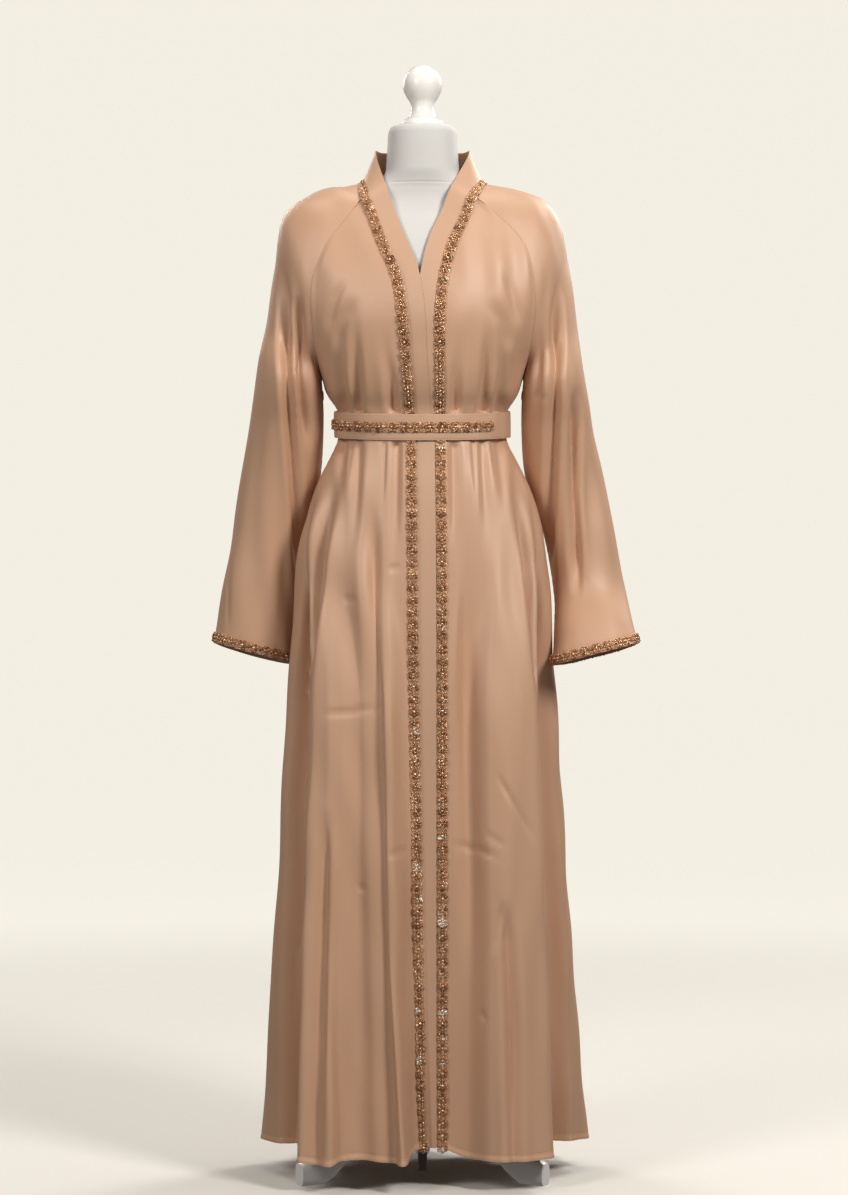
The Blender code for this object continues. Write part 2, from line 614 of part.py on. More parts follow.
def folds_of(piece):
    rows = [fold for fold in FOLDS if fold["piece"] == piece]
    if piece == "back":
        for x in BACK_GATHERS:
            for start, end in (BACK_GATHER_LOW, BACK_GATHER_HIGH):
                path = [(x, start), (x, end)]
                own = dict(piece=piece, facing="back", path=path, depth=BACK_GATHER_DEPTH)
                rows.append(dict(GATHER, **own))
    return rows


def add_folds(piece, grid, outward, fade):
    """Draw a piece's points in along its gathers and long folds."""
    normal = np.cross(np.gradient(grid, axis=1), np.gradient(grid, axis=0)) * outward
    normal /= np.maximum(np.linalg.norm(normal, axis=2, keepdims=True), 1e-9)
    total = np.zeros(grid.shape[:2])
    for fold in folds_of(piece):
        towards = -1 if fold["facing"] == "front" else 1
        total += fold_depth(grid[..., 0], grid[..., 2], fold) * smooth(0.25 + towards * normal[..., 1] * 1.3)
    return grid - normal * (total * fade)[..., None]


def panel_grid(side):
    """All sections of a front or the back, from hem to neck."""
    at = build_columns(side)
    rows = [skirt_section(side, z, at) for z in SKIRT_ROWS]
    rows += [upper_section(side, z, at) for z in WAIST_ROWS + RAGLAN_ROWS]
    grid = np.array(rows)
    if side == "back":
        grid[-1] = back_neck_row(at)
        grid[-2] = grid[-2] * 0.5 + (grid[-3] + grid[-1]) * 0.25
        grid[-2][[0, -1]] = rows[-2][[0, -1]]
    across = lengths(grid, 1)
    nearest = np.minimum(across, across[:, -1:] - across)
    fade = smooth((nearest - SEAM_PLAIN) / SEAM_FADE)
    name = "back" if side == "back" else "front_" + side
    return add_folds(name, grid, -1 if side == "right" else 1, fade)


def back_neck_row(at):
    """Top row of the back, along the neck seam from one raglan end to the other."""
    left = neck_curve("left", "seam")
    right = neck_curve("right", "seam")
    share = np.clip(at, 0, 1)
    reach = 1 - REAR_PLACE
    a = left(REAR_PLACE + reach * np.clip(share * 2, 0, 1))
    b = right(REAR_PLACE + reach * np.clip(2 - share * 2, 0, 1))
    return np.where((share <= 0.5)[:, None], a, b)


def sleeve_grid(side):
    """Sleeve sections from the neck seam to the cuff. Rows past the underarm close on themselves."""
    sign = -1 if side == "right" else 1
    turns = np.linspace(-1, 1, SLEEVE_COLUMNS + 1)
    neck = neck_curve(side, "seam")
    rows = [neck(REAR_PLACE * (turns + 1) / 2)]
    top = RAGLAN_ROWS[-1]
    rows[0][0] = np.append(on_ring(top, turn_at(top, raglan(side, top))), top)
    for top, z in zip(SLEEVE_TOP, RAGLAN_ROWS[-2:0:-1]):
        front = np.append(on_ring(z, turn_at(z, raglan(side, z))), z)
        back = np.append(on_ring(z, turn_at(z, raglan(side, z), behind=True)), z)
        outer = np.array([sign * top[side], top["back"], top["outer_z"]])
        rows.append(arc_row(front, outer, back, turns, math.radians(top["reach"])))
    for k, tube in enumerate(SLEEVE_TUBE):
        own = tube[side]
        middle_x = (own["inner"] + own["outer"]) / 2
        middle_z = (tube["inner_z"] + tube["outer_z"]) / 2
        centre = np.array([middle_x * sign, own["back"], middle_z])
        out = np.array([(own["outer"] - middle_x) * sign, 0, tube["outer_z"] - middle_z])
        angle = turns * math.pi
        back = np.array([0, tube["depth"], 0])
        ring = centre + np.cos(angle)[:, None] * out + np.sin(angle)[:, None] * back
        down = k / (len(SLEEVE_TUBE) - 1)
        ring[:, 2] -= CUFF_BACK_DROP * down**4 * np.clip(np.sin(angle), 0, 1)
        rows.append(ring)
    grid = np.array(rows)
    fade = np.ones(grid.shape[:2])
    fade[:len(SLEEVE_TOP) + 2] = smooth((1 - np.abs(turns)) / SLEEVE_PLAIN)
    return add_folds("sleeve_" + side, grid, -sign, fade)


def arc_row(front, outer, back, turns, reach):
    """Part of an oval from the front seam over the outer edge to the back seam, reach radians each way."""
    middle = (front + back) / 2
    angle = turns * reach
    across = (outer - middle) / (1 - math.cos(reach))
    half = (back - front) / 2 / math.sin(reach)
    return outer - (1 - np.cos(angle))[:, None] * across + np.sin(angle)[:, None] * half


def pull(grid, edge, rows=slice(None)):
    """Draw one edge of a grid back from its seam by half of the seam's gap."""
    grid = grid.copy()
    gap = SEAM_GAP / 2
    if edge == "first_column":
        step = grid[rows, 1] - grid[rows, 0]
        grid[rows, 0] += step / np.linalg.norm(step, axis=-1, keepdims=True) * gap
    elif edge == "last_column":
        step = grid[rows, -2] - grid[rows, -1]
        grid[rows, -1] += step / np.linalg.norm(step, axis=-1, keepdims=True) * gap
    elif edge == "first_row":
        step = grid[1] - grid[0]
        grid[0] += step / np.linalg.norm(step, axis=-1, keepdims=True) * gap
    else:
        step = grid[-2] - grid[-1]
        grid[-1] += step / np.linalg.norm(step, axis=-1, keepdims=True) * gap
    return grid


class Patch:
    """One sheet of cloth as points and quads, before it is given its thickness."""

    def __init__(self, points, quads):
        self.points = np.asarray(points, float)
        self.quads = quads
        self.normals = self.find_normals()

    def find_normals(self):
        total = np.zeros_like(self.points)
        for quad in self.quads:
            p = self.points[list(quad)]
            normal = np.cross(p[2] - p[0], p[3] - p[1])
            for i in quad:
                total[i] += normal
        length = np.linalg.norm(total, axis=1, keepdims=True)
        return total / np.where(length > 0, length, 1)

    def border(self):
        count = {}
        for quad in self.quads:
            for a, b in zip(quad, quad[1:] + quad[:1]):
                count[(a, b)] = count.get((a, b), 0) + 1
        return [(a, b) for (a, b) in count if (b, a) not in count]


def grid_patch(grid, outward, closed_from=None):
    """Quads over a grid. Rows from closed_from on join their last column to their first."""
    rows, cols, _ = grid.shape
    index = np.arange(rows * cols).reshape(rows, cols)
    if closed_from is not None:
        index[closed_from:, -1] = index[closed_from:, 0]
    used = np.unique(index)
    renumber = {int(old): new for new, old in enumerate(used)}
    points = grid.reshape(-1, 3)[used]
    quads = []
    for i in range(rows - 1):
        for j in range(cols - 1):
            quad = [index[i, j], index[i, j + 1], index[i + 1, j + 1], index[i + 1, j]]
            quad = [renumber[int(q)] for q in quad]
            quads.append(quad if outward > 0 else quad[::-1])
    return Patch(points, quads)


def share_normals(patches):
    """Give neighbouring edges one direction at their seam, so that their walls stay apart."""
    reach = 3 * SEAM_GAP
    borders = []
    for patch in patches:
        ids = sorted({i for edge in patch.border() for i in edge})
        borders.append((patch, np.array(ids), patch.points[ids], patch.normals[ids].copy()))
    for patch, ids, points, own in borders:
        total = own.copy()
        for other, _, their_points, their_normals in borders:
            if other is patch:
                continue
            gap = np.linalg.norm(points[:, None] - their_points[None], axis=-1)
            nearest = gap.argmin(axis=1)
            close = gap[np.arange(len(ids)), nearest] < reach
            total[close] += their_normals[nearest[close]]
        patch.normals[ids] = total / np.linalg.norm(total, axis=1, keepdims=True)


def split_quad(points, quad):
    """Two triangles of a quad, parted along its shorter diagonal."""
    a, b, c, d = quad
    if np.linalg.norm(points[a] - points[c]) <= np.linalg.norm(points[b] - points[d]):
        return [[a, b, c], [a, c, d]]
    return [[a, b, d], [b, c, d]]


def wall_mesh(patch, thick, outset=0.0):
    """Closed wall: the patch moved out by outset, and a copy of it inwards by the thickness.

    Both faces are split along the same diagonals, so that the wall keeps its thickness in twisted quads.
    """
    outer = patch.points + patch.normals * outset
    inner = patch.points + patch.normals * (outset - thick)
    count = len(outer)
    faces = [triangle for quad in patch.quads for triangle in split_quad(patch.points, quad)]
    faces += [[i + count for i in reversed(triangle)] for triangle in faces]
    faces += [[b, a, a + count, b + count] for a, b in patch.border()]
    return np.vstack([outer, inner]), faces


def material(name, colour, roughness, metallic=0.0):
    made = bpy.data.materials.get(name)
    if made is None:
        made = bpy.data.materials.new(name)
        made.use_nodes = True
        shader = made.node_tree.nodes["Principled BSDF"]
        shader.inputs["Base Color"].default_value = (*colour, 1.0)
        shader.inputs["Roughness"].default_value = roughness
        shader.inputs["Metallic"].default_value = metallic
        made.diffuse_color = (*colour, 1.0)
    return made


SATIN = dict(name="nude_satin", colour=(0.55, 0.33, 0.21), roughness=0.42)
BAND_SATIN = dict(name="nude_satin_band", colour=(0.53, 0.32, 0.20), roughness=0.42)
BEADING = dict(name="copper_beading", colour=(0.62, 0.34, 0.19), roughness=0.3, metallic=0.6)
FORM_WHITE = dict(name="form_white", colour=(0.82, 0.80, 0.77), roughness=0.5)
STAND_WHITE = dict(name="stand_white", colour=(0.85, 0.84, 0.81), roughness=0.35)
DARK_STEEL = dict(name="dark_steel", colour=(0.12, 0.08, 0.06), roughness=0.45, metallic=0.7)


def add_object(name, points, faces, finish):
    """New object from points and faces, moved from the garment's midline to the model's frame."""
    mesh = bpy.data.meshes.new(name)
    placed = np.asarray(points) + np.array([MIDLINE_X, MIDLINE_Y, 0.0])
    mesh.from_pydata([tuple(map(float, p)) for p in placed], [], [tuple(f) for f in faces])
    mesh.validate()
    mesh.materials.append(material(**finish))
    mesh.shade_smooth()
    mesh.set_sharp_from_angle(angle=math.radians(SHARP_DEGREES))
    obj = bpy.data.objects.new(name, mesh)
    bpy.context.collection.objects.link(obj)
    return obj


def loft(rings):
    """Solid through rings of equal count, listed upwards and turning anticlockwise from above."""
    count = len(rings[0])
    points = np.vstack(rings)
    faces = []
    for i in range(len(rings) - 1):
        for j in range(count):
            k = (j + 1) % count
            faces.append([i * count + j, i * count + k, (i + 1) * count + k, (i + 1) * count + j])
    top = (len(rings) - 1) * count
    faces.append(list(range(count))[::-1])
    faces.append([top + j for j in range(count)])
    return points, faces


def lathe(profile, sides):
    """Solid turned about the stand's upright axis, from pairs of height and radius."""
    turns = np.linspace(0, 2 * math.pi, sides, endpoint=False)
    rings = []
    for z, radius in profile:
        ring = [radius * np.cos(turns), radius * np.sin(turns), np.full(sides, z)]
        rings.append(np.column_stack(ring))
    return loft(rings)


def neck_turns(side):
    """Places round one side of the neck at which band, trim, sleeve and back share their points."""
    sleeve = REAR_PLACE * np.linspace(0, 1, SLEEVE_COLUMNS + 1)
    at = build_columns("back")
    half = at[at <= 0.5] if side == "left" else 1 - at[at >= 0.5][::-1]
    half = np.unique(np.append(half, 0.5))
    back = REAR_PLACE + (1 - REAR_PLACE) * 2 * half
    return sleeve, back[1:]


def band_grid(side):
    """Band half from hem to centre back: seam, turn of the lap and free edge at every station."""
    z = np.array(SKIRT_ROWS + WAIST_ROWS + RAGLAN_ROWS)
    front = panel_grid(side)[:, 0]
    edge = band_edge(side, z)
    hem_rise = front[:, 2] - z
    edge[:, 2] += hem_rise
    sleeve, back = neck_turns(side)
    places = np.concatenate([sleeve[1:], back])
    seam = np.vstack([front, neck_curve(side, "seam")(places)])
    edge = np.vstack([edge, neck_curve(side, "edge")(places)])
    step = edge - seam
    width = np.linalg.norm(step, axis=1, keepdims=True)
    step /= width
    lap = np.clip((RAISE_TOP_Z - seam[:, 2:3]) / RAISE_FADE, 0, 1)
    lap[len(z):] = 0
    if side == "left":
        lap[:] = 0
    raised = np.array([0, -1, 0]) * LAP_STEP * lap
    near = seam + step * LAP_FROM
    full = seam + step * LAP_FULL
    middle = (full + edge) / 2
    for station in (near, full, middle):
        for i, row_z in enumerate(z[:-2]):
            station[i, 1] = front_depth(station[i, 0], station[i, 2], row_z)
    return np.stack([seam, near, full + raised, middle + raised, edge + raised], axis=1)


def trim_rows(side, panel, sleeve, back):
    """Middle line of a front trim and its two edges, which lie on the pieces beside the seam."""
    band = band_grid(side)
    half = TRIM_WIDTH / 2
    count = len(panel)
    outside = np.vstack([panel[:, 1], sleeve[1][1:], back])
    seam = band[:, 0]
    out = outside - seam
    out /= np.linalg.norm(out, axis=1, keepdims=True)
    into = band[:, 1] - seam
    into /= np.linalg.norm(into, axis=1, keepdims=True)
    blend = np.ones((len(seam), 1))
    blend[count - 1] = 0.5
    return np.stack([seam + out * half * blend, seam, seam + into * half], axis=1)


def build_garment():
    panels = {side: panel_grid(side) for side in ("right", "left", "back")}
    sleeves = {side: sleeve_grid(side) for side in ("right", "left")}
    bands = {side: band_grid(side) for side in ("right", "left")}
    first_raglan = len(SKIRT_ROWS) + len(WAIST_ROWS)
    patches = {}
    for side, sign in (("right", -1), ("left", 1)):
        grid = pull(pull(pull(panels[side], "first_column"), "last_column"), "last_row")
        patches["front_" + side] = grid_patch(grid, sign)
        open_rows = slice(0, 6)
        grid = pull(sleeves[side], "first_row")
        grid = pull(pull(grid, "first_column", rows=open_rows), "last_column", rows=open_rows)
        patches["sleeve_" + side] = grid_patch(grid, -sign, closed_from=6)
        grid = pull(bands[side], "first_column")
        patches["band_" + side] = grid_patch(pull(grid, "last_row"), -sign)
    grid = pull(pull(pull(panels["back"], "first_column"), "last_column"), "last_row")
    patches["back"] = grid_patch(grid, 1)
    share_normals(list(patches.values()))
    for name, patch in patches.items():
        finish = BAND_SATIN if name.startswith("band") else SATIN
        add_object(name, *wall_mesh(patch, WALL), finish)
    return panels, sleeves


def build_front_trims(panels, sleeves):
    for side, sign in (("right", -1), ("left", 1)):
        neighbours = panels["back"][-2]
        at = build_columns("back")
        if side == "left":
            chosen = neighbours[at <= 0.5]
        else:
            chosen = neighbours[at >= 0.5][::-1]
        sleeve, back = neck_turns(side)
        grid = trim_rows(side, panels[side], sleeves[side], chosen[1:1 + len(back)])
        grid = pull(grid, "last_row")
        patch = grid_patch(grid, -sign)
        add_object("trim_" + side, *wall_mesh(patch, TRIM_THICK, TRIM_GAP + TRIM_THICK), BEADING)


def belt_grid(low, high, turns, offset):
    """Rows round the waist between two heights, lower in front than at the sides."""
    rise = np.minimum(BELT_RISE_RATE * np.sin(turns / 2) ** 2, BELT_BACK_RISE)
    rows = []
    for level in (low, high):
        ring = on_ring(BELT_LOW_Z, turns)
        ring = ring * (1 + offset / np.linalg.norm(ring, axis=1, keepdims=True))
        rows.append(np.column_stack([ring, level + rise]))
    return np.array(rows)


def build_belt():
    turns = np.linspace(-math.pi, math.pi, BELT_COLUMNS + 1)
    grid = belt_grid(BELT_LOW_Z, BELT_HIGH_Z, turns, BELT_OFFSET + WALL)
    patch = grid_patch(grid, 1, closed_from=0)
    add_object("belt", *wall_mesh(patch, WALL), SATIN)
    centre = (BELT_LOW_Z + BELT_HIGH_Z) / 2
    kept = turns[(turns <= math.radians(BELT_TRIM_FROM)) & (turns >= math.radians(BELT_TRIM_TO))]
    grid = belt_grid(centre - BELT_TRIM_HALF_HEIGHT, centre + BELT_TRIM_HALF_HEIGHT, kept, BELT_OFFSET + WALL)
    patch = grid_patch(grid, 1)
    add_object("belt_trim", *wall_mesh(patch, TRIM_THICK, TRIM_GAP + TRIM_THICK), BEADING)


def build_cuff_trims(sleeves):
    for side, sign in (("right", -1), ("left", 1)):
        low = sleeves[side][-1]
        step = sleeves[side][-2] - low
        step /= np.linalg.norm(step, axis=1, keepdims=True)
        grid = np.array([low + step * CUFF_TRIM_HEIGHT, low + step * CUFF_TRIM_LOW])
        patch = grid_patch(grid, -sign, closed_from=0)
        add_object("cuff_trim_" + side, *wall_mesh(patch, TRIM_THICK, TRIM_GAP + TRIM_THICK), BEADING)


def build_form():
    turns = np.linspace(0, 2 * math.pi, FORM_COLUMNS, endpoint=False)
    rings = []
    for row in FORM_RINGS:
        depth = np.where(np.sin(turns) > 0, row["back"], row["front"])
        x = row["half_width"] * np.sign(np.cos(turns)) * np.abs(np.cos(turns)) ** FORM_POWER
        y = depth * np.sign(np.sin(turns)) * np.abs(np.sin(turns)) ** FORM_POWER
        rings.append(np.column_stack([x, y, np.full(FORM_COLUMNS, row["z"])]))
    add_object("form_body", *loft(rings), FORM_WHITE)
    profile = [(row["z"], row["radius"]) for row in FINIAL_PROFILE] + [(FINIAL_TOP_Z, FINIAL_TOP_RADIUS)]
    add_object("finial", *lathe(profile, FINIAL_SIDES), STAND_WHITE)


def build_stand():
    form_low = FORM_RINGS[0]["z"]
    pole = [(HUB_HIGH_Z + SEAM_GAP, POLE_RADIUS), (form_low - SEAM_GAP, POLE_RADIUS)]
    add_object("pole", *lathe(pole, POLE_SIDES), STAND_WHITE)
    add_object("hub", *lathe([(HUB_LOW_Z, HUB_RADIUS), (HUB_HIGH_Z, HUB_RADIUS)], HUB_SIDES), STAND_WHITE)
    tip = [(TIP_LOW_Z, TIP_RADIUS), (HUB_LOW_Z - SEAM_GAP, TIP_RADIUS)]
    add_object("post_tip", *lathe(tip, TIP_SIDES), DARK_STEEL)
    start = HUB_RADIUS + SEAM_GAP
    span = LEG_REACH - start
    for name, angle in LEG_ANGLES.items():
        heading = math.radians(angle)
        out = np.array([math.sin(heading), -math.cos(heading), 0.0])
        across = np.array([math.cos(heading), math.sin(heading), 0.0])
        rings = []
        for row in LEG_PROFILE:
            ring = []
            for edge, side in (("lower", -1), ("lower", 1), ("upper", 1), ("upper", -1)):
                reach, z = row[edge]
                reach = start + min(reach, span)
                ring.append(out * reach + across * side * LEG_WIDTH / 2 + np.array([0, 0, z]))
            rings.append(np.array(ring))
        add_object(name, *loft(rings), STAND_WHITE)


def main():
    for obj in list(bpy.data.objects):
        bpy.data.objects.remove(obj, do_unlink=True)
    panels, sleeves = build_garment()
    build_front_trims(panels, sleeves)
    build_belt()
    build_cuff_trims(sleeves)
    build_form()
    build_stand()


main()
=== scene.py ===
"""Looks of the belted abaya cloak on its dress form: cloth, beading, stitches, form, stand, paper and light.

The cloth's surfaces are worked out from the same body rings, fold lines and seams as its solids, in finer
steps, and get the creases, gathers and hems that show in satin. Metres, +Z up, front at -Y, the wearer's left
at +X.
"""
import math

import bpy
import numpy as np
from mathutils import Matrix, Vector
from mathutils.bvhtree import BVHTree


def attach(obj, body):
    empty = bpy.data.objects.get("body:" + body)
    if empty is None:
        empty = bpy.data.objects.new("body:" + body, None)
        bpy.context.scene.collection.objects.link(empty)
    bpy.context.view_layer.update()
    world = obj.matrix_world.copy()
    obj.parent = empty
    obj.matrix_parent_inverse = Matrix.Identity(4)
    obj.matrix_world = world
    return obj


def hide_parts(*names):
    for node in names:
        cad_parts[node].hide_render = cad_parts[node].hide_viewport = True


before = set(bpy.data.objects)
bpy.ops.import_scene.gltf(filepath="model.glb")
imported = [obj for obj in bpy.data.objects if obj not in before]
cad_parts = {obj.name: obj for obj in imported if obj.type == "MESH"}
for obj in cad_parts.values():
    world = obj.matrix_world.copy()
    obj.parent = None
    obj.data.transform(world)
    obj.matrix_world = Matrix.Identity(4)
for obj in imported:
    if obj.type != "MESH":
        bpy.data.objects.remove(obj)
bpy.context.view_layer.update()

# Cloth and sewing
WALL = 0.0012
SEAM_GAP = 0.0003
TRIM_WIDTH = 0.016
TRIM_THICK = 0.0015
LAP_STEP = WALL + SEAM_GAP

# The model's box is centred on the origin by this shift of the garment's own midline
MIDLINE_X = -0.0027
MIDLINE_Y = -0.007

# Heights of the garment
HEM_Z = 0.046
MID_Z = 0.70
SHIN_Z = 0.37
HIP_Z = 0.90
HIGH_HIP_Z = 0.99
BELT_LOW_Z = 1.0735
BELT_HIGH_Z = 1.1115
UNDERARM_Z = 1.165
NECK_STATION_Z = 1.432

# Body rings of the cloth: half width, depth in front and behind, and squareness of the oval
RINGS = [
    dict(z=0.70, half_width=0.176, front=0.134, back=0.132, square=2.1),
    dict(z=0.90, half_width=0.179, front=0.120, back=0.124, square=2.1),
    dict(z=0.99, half_width=0.1635, front=0.111, back=0.114, square=2.1),
    dict(z=1.040, half_width=0.147, front=0.104, back=0.106, square=2.1),
    dict(z=1.0735, half_width=0.1255, front=0.098, back=0.098, square=2.1),
    dict(z=1.123, half_width=0.1255, front=0.098, back=0.098, square=2.1),
    dict(z=1.143, half_width=0.139, front=0.107, back=0.105, square=2.1),
    dict(z=1.173, half_width=0.1495, front=0.116, back=0.110, square=2.15),
    dict(z=1.210, half_width=0.168, front=0.121, back=0.113, square=2.2),
    dict(z=1.257, half_width=0.190, front=0.124, back=0.115, square=2.2),
    dict(z=1.310, half_width=0.205, front=0.114, back=0.116, square=2.2),
    dict(z=1.360, half_width=0.212, front=0.095, back=0.108, square=2.2),
    dict(z=1.400, half_width=0.212, front=0.074, back=0.090, square=2.2),
    dict(z=1.432, half_width=0.190, front=0.056, back=0.074, square=2.2),
    dict(z=1.475, half_width=0.150, front=0.040, back=0.066, square=2.2),
]

# Band seams: where each front is sewn to the neck band, and where the lapped band's free edge lies
BAND_SEAMS = [
    dict(z=0.046, right=0.0010, left=0.0290, lap_edge=0.0205),
    dict(z=0.202, right=-0.0036, left=0.0285, lap_edge=0.0200),
    dict(z=0.731, right=-0.0128, left=0.0285, lap_edge=0.0200),
    dict(z=1.074, right=-0.0166, left=0.0262, lap_edge=0.0177),
    dict(z=1.124, right=-0.0195, left=0.0250, lap_edge=0.0110),
    dict(z=1.231, right=-0.0276, left=0.0245, lap_edge=0.0045),
    dict(z=1.286, right=-0.0324, left=0.0268, lap_edge=0.0015),
    dict(z=1.312, right=-0.0388, left=0.0310, lap_edge=-0.0030),
    dict(z=1.348, right=-0.0540, left=0.0395, lap_edge=-0.0200),
    dict(z=1.390, right=-0.0693, left=0.0575, lap_edge=-0.0355),
    dict(z=1.432, right=-0.0845, left=0.0735, lap_edge=-0.0520),
]
# The band's width across and its rise from seam to free edge, which stands up towards the neck
BAND_RISE = [
    dict(z=1.24, across=0.031, up=0.000),
    dict(z=1.286, across=0.032, up=0.003),
    dict(z=1.312, across=0.033, up=0.008),
    dict(z=1.348, across=0.033, up=0.012),
    dict(z=1.390, across=0.032, up=0.013),
    dict(z=1.432, across=0.031, up=0.016),
]
LAP_FROM = 0.0088
LAP_FULL = 0.0125
LAP_TOP_Z = 1.30
UNDERLAP_FADE = 0.06
# The lapped band lies one cloth and one gap further out, and comes back to its seam between these heights
RAISE_TOP_Z = 1.36
RAISE_FADE = 0.05
TRIM_GAP = 0.0009

# Raglan seams, from underarm to neck, as distance from the midline on each side
RAGLAN = [
    dict(z=1.165, right=0.1478, left=0.1478),
    dict(z=1.210, right=0.1560, left=0.1565),
    dict(z=1.257, right=0.1616, left=0.1638),
    dict(z=1.310, right=0.1595, left=0.1610),
    dict(z=1.360, right=0.1390, left=0.1480),
    dict(z=1.400, right=0.1090, left=0.1120),
    dict(z=1.432, right=0.0859, left=0.0749),
]

# Neck seam and top edge of the band, behind the front raglan end and round to the middle of the back
NECK = [
    dict(name="side", place=0.33, seam=(0.0890, 0.000, 1.4555), edge=(0.0695, 0.004, 1.5020)),
    dict(name="rear", place=0.62, seam=(0.0760, 0.052, 1.4520), edge=(0.0575, 0.042, 1.5060)),
    dict(name="rear_quarter", place=0.81, seam=(0.0450, 0.078, 1.4560), edge=(0.0330, 0.061, 1.5090)),
    dict(name="centre_back", place=1.00, seam=(0.0000, 0.086, 1.4600), edge=(0.0000, 0.068, 1.5110)),
]
# Place along the neck seam where the rear raglan seam meets it
REAR_PLACE = 0.62

# Fold lines of the skirt: how far round each front they start, and their place at three heights
FRONT_RIGHT_FOLDS = [
    dict(name="band_seam", at=0.00, hem_z=0.0580,
         mid=(-0.0128, -0.131), shin=(-0.0070, -0.134), hem=(0.0010, -0.128)),
    dict(name="trim_edge", at=0.07, hem_z=0.0560,
         mid=(-0.0225, -0.132), shin=(-0.0167, -0.137), hem=(-0.0088, -0.134)),
    dict(name="tall_ridge", at=0.24, hem_z=0.0415,
         mid=(-0.0580, -0.151), shin=(-0.0505, -0.172), hem=(-0.0290, -0.191)),
    dict(name="wide_hollow", at=0.42, hem_z=0.0460,
         mid=(-0.0870, -0.127), shin=(-0.0860, -0.143), hem=(-0.0833, -0.158)),
    dict(name="pleat_inner", at=0.55, hem_z=0.0460,
         mid=(-0.1180, -0.128), shin=(-0.1190, -0.145), hem=(-0.1150, -0.168)),
    dict(name="pleat_edge", at=0.64, hem_z=0.0400,
         mid=(-0.1380, -0.124), shin=(-0.1390, -0.148), hem=(-0.1330, -0.186)),
    dict(name="front_corner", at=0.75, hem_z=0.0440,
         mid=(-0.1590, -0.104), shin=(-0.1680, -0.134), hem=(-0.1755, -0.164)),
    dict(name="side_hollow", at=0.85, hem_z=0.0455,
         mid=(-0.1430, -0.044), shin=(-0.1520, -0.048), hem=(-0.1620, -0.050)),
    dict(name="lobe_front", at=0.91, hem_z=0.0455,
         mid=(-0.1790, -0.026), shin=(-0.1900, -0.020), hem=(-0.2050, -0.012)),
    dict(name="side_lobe", at=0.96, hem_z=0.0460,
         mid=(-0.1985, 0.004), shin=(-0.2180, 0.022), hem=(-0.2394, 0.042)),
    dict(name="side_seam", at=1.00, hem_z=0.0460,
         mid=(-0.1780, 0.042), shin=(-0.2020, 0.068), hem=(-0.2240, 0.090)),
]
FRONT_LEFT_FOLDS = [
    dict(name="band_seam", at=0.00, hem_z=0.0580,
         mid=(0.0285, -0.131), shin=(0.0285, -0.134), hem=(0.0290, -0.128)),
    dict(name="trim_edge", at=0.08, hem_z=0.0540,
         mid=(0.0385, -0.130), shin=(0.0385, -0.133), hem=(0.0390, -0.129)),
    dict(name="soft_trough", at=0.20, hem_z=0.0460,
         mid=(0.0622, -0.122), shin=(0.0640, -0.134), hem=(0.0640, -0.138)),
    dict(name="front_swell", at=0.38, hem_z=0.0450,
         mid=(0.0980, -0.139), shin=(0.0990, -0.158), hem=(0.0986, -0.170)),
    dict(name="front_plain", at=0.54, hem_z=0.0450,
         mid=(0.1290, -0.134), shin=(0.1310, -0.156), hem=(0.1360, -0.174)),
    dict(name="front_corner", at=0.70, hem_z=0.0470,
         mid=(0.1660, -0.104), shin=(0.1755, -0.122), hem=(0.1870, -0.140)),
    dict(name="side_hollow", at=0.80, hem_z=0.0475,
         mid=(0.1480, -0.044), shin=(0.1590, -0.046), hem=(0.1720, -0.045)),
    dict(name="small_ridge", at=0.87, hem_z=0.0480,
         mid=(0.1780, -0.020), shin=(0.1930, -0.012), hem=(0.2140, -0.002)),
    dict(name="side_lobe", at=0.95, hem_z=0.0465,
         mid=(0.1955, 0.020), shin=(0.2180, 0.028), hem=(0.2451, 0.038)),
    dict(name="side_seam", at=1.00, hem_z=0.0460,
         mid=(0.1800, 0.050), shin=(0.2050, 0.068), hem=(0.2300, 0.088)),
]
# The hidden back hangs in soft flutes: angle from the front, and reach at mid height and at the hem
BACK_FLUTES = [
    dict(name="flute_1", angle=116, mid=0.188, hem=0.252),
    dict(name="hollow_1", angle=131, mid=0.152, hem=0.188),
    dict(name="flute_2", angle=146, mid=0.164, hem=0.236),
    dict(name="hollow_2", angle=163, mid=0.130, hem=0.170),
    dict(name="flute_3", angle=180, mid=0.152, hem=0.2045),
    dict(name="hollow_3", angle=197, mid=0.131, hem=0.168),
    dict(name="flute_4", angle=213, mid=0.160, hem=0.232),
    dict(name="hollow_4", angle=229, mid=0.150, hem=0.186),
    dict(name="flute_5", angle=243, mid=0.186, hem=0.248),
]
HIP_SHARE = 0.25
HEM_LIFT_TOP_Z = 0.25

# Heights at which the fronts and the back are sectioned
SKIRT_ROWS = (0.046, 0.14, 0.25, 0.37, 0.49, 0.60, 0.70, 0.79, 0.88, 0.955, 1.010, 1.050, 1.0735)
WAIST_ROWS = (1.1235, 1.143)
RAGLAN_ROWS = tuple(row["z"] for row in RAGLAN)

